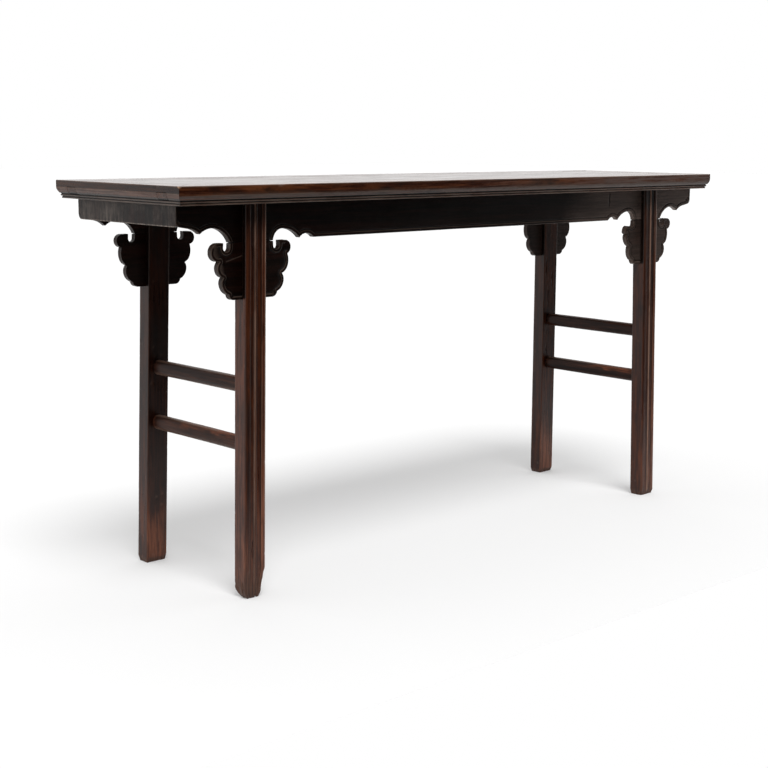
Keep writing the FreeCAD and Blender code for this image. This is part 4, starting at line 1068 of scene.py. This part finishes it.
def wood(
    slot, palette, tints, rough, specular, ior=1.5, coat=0.0, coat_rough=0.3, mottled=0.5, bump=0.25, hazy=1.5
):
    """Old lacquered hardwood: fine grain along each piece, uneven colour, and wear kept on its points.

    The palette is the dark, middle and pale grain and the mottling. The tints are hazing and painted sheen,
    worn wood and painted highlights, bare wood and painted sheen, and dirt.
    """
    dark, middle, pale, mottling = (srgb(text) for text in palette.split())
    haze_and_sheen, worn, bare, dirt = (srgb(text) for text in tints.split())
    material = bpy.data.materials.new(slot)
    material.use_nodes = True
    tree = material.node_tree

    def kept(title, output):
        return add_node(tree, "Attribute", attribute_name=title).outputs[output]

    def value(kind, *items, clamp=False):
        return add_node(tree, "Math", enumerate(items), operation=kind, use_clamp=clamp).outputs[0]

    def times(a, b, clamp=False):
        return value("MULTIPLY", a, b, clamp=clamp)

    def plus(a, b):
        return value("ADD", a, b)

    def lumps(scale, detail, roughness=0.55, warp=0.0):
        vector = add_node(tree, "Mapping", {"Vector": grain, "Scale": scale}).outputs[0]
        inputs = {"Vector": vector, "Scale": 1, "Detail": detail, "Roughness": roughness, "Distortion": warp}
        return add_node(tree, "TexNoise", inputs).outputs["Fac"]

    def band(item, low, high):
        inputs = {"Value": item, "From Min": low, "From Max": high}
        return add_node(tree, "MapRange", inputs, interpolation_type="SMOOTHSTEP").outputs["Result"]

    def mixed(share, a, b):
        inputs = {"Factor": share, COLOUR_A: a, COLOUR_B: b}
        return add_node(tree, "Mix", inputs, data_type="RGBA").outputs[COLOUR_OUT]

    grain, tone, polish = kept("grain", "Vector"), kept("tone", "Fac"), kept("polish", "Fac")
    worn_and_highlight_mark, dirt_mark, bare_and_sheen_mark = add_node(tree, "SeparateXYZ", {0: kept("marks", "Vector")}).outputs
    fine = lumps((12, 230, 230), 6, 0.65, 0.2)
    broad = lumps((2.6, 60, 60), 4, 0.55, 0.6)
    cloud = lumps((9, 22, 22), 5, 0.62, 0.3)
    spots = lumps((130, 210, 210), 4, 0.7)
    pores = lumps((70, 1500, 1500), 3, 0.6)
    ramp = add_node(tree, "ValToRGB", {0: plus(times(fine, 0.55), times(broad, 0.55))})
    elements = ramp.color_ramp.elements
    elements[0].position, elements[1].position = 0.37, 0.65
    elements[0].color, elements[1].color = dark, pale
    elements.new(0.5).color = middle
    colour = mixed(times(band(cloud, 0.45, 0.68), mottled), ramp.outputs["Color"], mottling)
    dark_spots = times(band(spots, 0.56, 0.70), band(cloud, 0.35, 0.6))
    colour = mixed(times(dark_spots, 0.75 * mottled), colour, dark)
    # A tone above nought turns the colour to the hazing tint, which also paints sheen and light; below nought
    # it darkens the colour, which also paints shade.
    uneven = plus(1 - hazy / 2, times(band(fine, 0.36, 0.64), hazy))
    colour = mixed(times(tone, uneven, clamp=True), colour, haze_and_sheen)
    colour = mixed(times(tone, -1.0, clamp=True), colour, halved(dark))
    # The worn mark also paints highlights, and the bare mark also paints the end boards' sheen.
    edge = times(worn_and_highlight_mark, plus(0.35, times(band(cloud, 0.3, 0.7), 0.9)), clamp=True)
    colour = mixed(times(edge, 0.85), colour, worn)
    deep = times(dirt_mark, plus(0.55, times(broad, 0.7)), clamp=True)
    colour = mixed(deep, colour, dirt)
    wear_and_sheen = band(plus(bare_and_sheen_mark, times(value("SUBTRACT", cloud, 0.5), 0.9)), 0.2, 1.0)
    wear_and_sheen = times(wear_and_sheen, plus(0.55, times(band(fine, 0.38, 0.6), 0.45)))
    colour = mixed(wear_and_sheen, colour, mixed(band(fine, 0.38, 0.62), halved(bare), bare))
    gloss = plus(times(band(cloud, 0.3, 0.75), 0.09), rough)
    gloss = plus(gloss, times(plus(wear_and_sheen, deep), 0.22))
    gloss = plus(gloss, times(fine, 0.16))
    gloss = value("SUBTRACT", gloss, times(polish, 0.14), clamp=True)
    height = plus(times(fine, 0.6), times(pores, 0.25))
    height = plus(height, times(spots, 0.3))
    strength = value("MULTIPLY_ADD", polish, -0.66 * bump, bump)
    relief = add_node(tree, "Bump", {"Strength": strength, "Distance": 0.0007, "Height": height})
    inputs = {
        "Base Color": colour,
        "Roughness": gloss,
        "Specular IOR Level": specular,
        "IOR": ior,
        "Coat Weight": coat,
        "Coat Roughness": coat_rough,
        "Normal": relief.outputs["Normal"],
    }
    feed(tree, tree.nodes["Principled BSDF"], inputs)
    return material


# Each wood's first tint also paints sheen and light, and the boards' third tint paints the end boards' sheen.
WOODS = {
    "top_frame_wood": (
        "140703 431f10 724022 1c0d06",
        "625049 7d695c b08f74 080403",
        {"rough": 0.18, "specular": 0.24, "mottled": 0.9, "bump": 0.35},
    ),
    "top_panel_wood": (
        "24120a 3e2214 5e3a24 3a2418",
        "6a5548 8a7c74 9a8270 1c1512",
        {"rough": 0.05, "specular": 0.28, "coat": 0.1, "coat_rough": 0.06, "bump": 0.12},
    ),
    "batten_wood": (
        "2c1f19 43332b 5c4a40 6a5a50",
        "5c4a40 77685e 8a7565 1e1713",
        {"rough": 0.6, "specular": 0.3, "ior": 1.45},
    ),
    "leg_wood": (
        "150703 33150a 582b14 1e0c06",
        "7c4a34 947463 54392c 0b0503",
        {"rough": 0.20, "specular": 0.28, "mottled": 0.6, "bump": 0.5},
    ),
    "board_wood": (
        "060201 100502 220e08 130a06",
        "7a6a62 5a4b42 8a7f77 030201",
        {"rough": 0.24, "specular": 0.15, "bump": 0.9, "hazy": 0.4},
    ),
    "rung_wood": (
        "170b08 2e1912 502e20 2c1d18",
        "553a30 8a7466 80482f 0b0605",
        {"rough": 0.20, "specular": 0.12, "bump": 0.6},
    ),
}
MATERIALS = {slot: wood(slot, palette, tints, **finish) for slot, (palette, tints, finish) in WOODS.items()}

# The top: four moulded members and two panel boards on four battens.
make_frame_member("top_frame_front_stile", 0, 11, True)
make_frame_member("top_frame_back_stile", 180, 12, False)
make_frame_member("top_frame_right_end_rail", 90, 13, False)
make_frame_member("top_frame_left_end_rail", -90, 14, True)
make_panel_board("top_panel_front_board", -1, 21)
make_panel_board("top_panel_back_board", 1, 22)
for number in (1, 2, 3, 4):
    make_batten(f"panel_batten_{number}", 30 + number)

# The legs and the boards that they clasp. A crack has its two ends and says whether it is pale.
WHOLE = (HALF_SHARES, HALF_SHARES, WHOLE_EAR_SHARES, GAP_SHARES)
SPANDRELS = {
    (-1, -1): (FRONT_LEFT_OUTER_SHARES, FRONT_LEFT_INNER_SHARES, WHOLE_EAR_SHARES, GAP_SHARES),
    (1, -1): (FRONT_RIGHT_INNER_SHARES, HALF_SHARES, BROKEN_EAR_SHARES, BROKEN_GAP_SHARES),
}
# Each spandrel's painted light: the front right one paler with painted sheen, the others darker with painted
# shade.
SPANDREL_PAINTED_LIGHT = {(-1, -1): -0.12, (1, -1): 0.26, (-1, 1): -0.2, (1, 1): -0.1}
APRON_WEAR = {"cracks": (((502, -3), (501, -40), False),), "holes": ((837, -31, 2.2),)}
SPANDREL_WEAR = {"cracks": (((-66, -38), (-20, -26), True),), "worn": ((-95, -6, 7),)}
for y_side, y_word in ((-1, "front"), (1, "back")):
    is_front = y_side < 0
    turn = 0 if is_front else 180
    place = np.array([0, y_side * BOARD_FACE, STAND])
    wear = {"end_sheen": 0.95, **APRON_WEAR} if is_front else {}
    make_board(f"{y_word}_apron", *apron_outline(), turn, place, 40 + y_side, -0.15, END_X, **wear)
    for x_side, x_word in ((-1, "left"), (1, "right")):
        seed = 50 + 4 * y_side + x_side
        make_leg(f"{y_word}_{x_word}_leg", x_side, y_side, seed)
        outline, carved = spandrel_outline(*SPANDRELS.get((x_side, y_side), WHOLE))
        place = np.array([x_side * SCROLL_X, y_side * BOARD_FACE, STAND - NECK_DROP])
        wear = SPANDREL_WEAR if is_front and x_side < 0 else {}
        haze_and_sheen = SPANDREL_PAINTED_LIGHT[x_side, y_side]
        make_board(f"{y_word}_{x_word}_spandrel", outline, carved, turn, place, seed + 20, haze_and_sheen, **wear)

# The end boards and the rungs. A rubbed place has its middle, its reach, its lowest level and its strength.
RUBBED = {
    ("left", "lower"): (
        (-125, 95, 0.5, 0.85),
        (-60, 140, 0.4, 0.5),
        (40, 30, -0.1, 0.35),
        (158, 14, -1, 0.35),
    ),
    ("right", "lower"): ((-80, 130, 0.45, 0.75),),
    ("right", "upper"): ((-120, 70, 0.55, 0.35),),
}
end_steps = rounded_end(BOARD_FACE) + [((BOARD_FACE, 0),), ((0, 0),)]
end_outline = mirrored(trace((0, -END_DEPTH), end_steps, 4 * MM))
uncarved = [False] * len(end_outline)
for side, word in ((-1, "left"), (1, "right")):
    place = np.array([side * END_X, 0, STAND])
    make_board(f"{word}_end_apron", end_outline, uncarved, 90 * side, place, 80 + side, -0.1, BOARD_FACE)
    for level, height, seed in (("upper", 448 * MM, 90), ("lower", 324 * MM, 95)):
        make_rung(f"{word}_{level}_rung", side, height, seed + side, RUBBED.get((word, level), ()))


def aimed(thing, x_axis, y_axis, z_axis, place):
    """Turns a camera or a lamp so that its own axes run as given, and puts it in its place."""
    matrix = np.eye(4)
    matrix[:3] = np.stack([x_axis, y_axis, z_axis, place], axis=1)
    thing.matrix_world = Matrix(matrix.tolist())


# The camera, where the photograph was taken from.
yaw, pitch, roll = 0.75732, 0.16969, 0.00817
focal_pixels, picture_pixels = 1471.74, 768
forward = np.array([math.sin(yaw) * math.cos(pitch), math.cos(yaw) * math.cos(pitch), -math.sin(pitch)])
right = np.array([math.cos(yaw), -math.sin(yaw), 0])
up = np.cross(right, forward)
right, up = math.cos(roll) * right + math.sin(roll) * up, math.cos(roll) * up - math.sin(roll) * right
camera = shown("camera", bpy.data.cameras.new("camera"))
camera.data.sensor_width = 36
camera.data.lens = focal_pixels / picture_pixels * camera.data.sensor_width
aimed(camera, right, up, -forward, (-2.53195, -2.54725, 0.96947))
bpy.context.scene.camera = camera

WHITE, FLOOR_GREY = (1, 1, 1, 1), (0.6, 0.6, 0.6, 1)

# The floor: plain, with the table's soft shadow on it, and a faint glow where it is seen.
floor_mesh = bpy.data.meshes.new("floor")
reach, near_edge = 30.0, -0.8
corners = [(-reach, near_edge, 0), (reach, near_edge, 0), (reach, reach, 0), (-reach, reach, 0)]
floor_mesh.from_pydata(corners, [], [(0, 1, 2, 3)])
floor = shown("floor", floor_mesh)
floor_material = bpy.data.materials.new("floor")
floor_material.use_nodes = True
tree = floor_material.node_tree
tree.nodes.clear()
path = add_node(tree, "LightPath").outputs
also = add_node(tree, "Math", {0: path["Is Glossy Ray"], 1: path["Is Transmission Ray"]}, operation="ADD")
seen = add_node(tree, "Math", {0: path["Is Camera Ray"], 1: also.outputs[0]}, operation="ADD", use_clamp=True)
plain = add_node(tree, "BsdfDiffuse", {"Color": FLOOR_GREY})
glow = add_node(tree, "Emission", {"Color": WHITE, "Strength": 0.20})
both = add_node(tree, "AddShader", {0: plain.outputs[0], 1: glow.outputs[0]})
choice = add_node(tree, "MixShader", {0: seen.outputs[0], 1: plain.outputs[0], 2: both.outputs[0]})
add_node(tree, "OutputMaterial", {"Surface": choice.outputs[0]})
floor_mesh.materials.append(floor_material)

# The world: white where it is seen. Its light comes from the white backdrop, and the room in front is dim.
world = bpy.data.worlds.new("studio")
world.use_nodes = True
bpy.context.scene.world = world
tree = world.node_tree
tree.nodes.clear()
direction = add_node(tree, "TexCoord").outputs["Generated"]
axes = add_node(tree, "SeparateXYZ", {0: direction}).outputs
inputs = {"Value": axes["Y"], "From Min": -0.70, "From Max": -0.15, "To Min": 0.012, "To Max": 1.0}
room = add_node(tree, "MapRange", inputs, interpolation_type="SMOOTHSTEP").outputs["Result"]
is_camera = add_node(tree, "LightPath").outputs["Is Camera Ray"]
strength = add_node(tree, "Mix", {"Factor": is_camera, "A": room, "B": 1.0}).outputs["Result"]
sky = add_node(tree, "Background", {"Color": WHITE, "Strength": strength})
add_node(tree, "OutputWorld", {"Surface": sky.outputs[0]})

# One large soft lamp, high in front and a little to the left.
lamp = shown("lamp", bpy.data.lights.new("lamp", "SUN"))
lamp.data.energy = 2.3
lamp.data.angle = math.radians(28)
aim = np.array([0.2, 0.49, -1.0])
aim = aim / np.linalg.norm(aim)
side_axis = np.cross(aim, [0, 0, 1])
side_axis = side_axis / np.linalg.norm(side_axis)
aimed(lamp, side_axis, np.cross(side_axis, aim), -aim, (-1.0, -2.5, 5.0))

bpy.context.scene.view_settings.view_transform = "Standard"
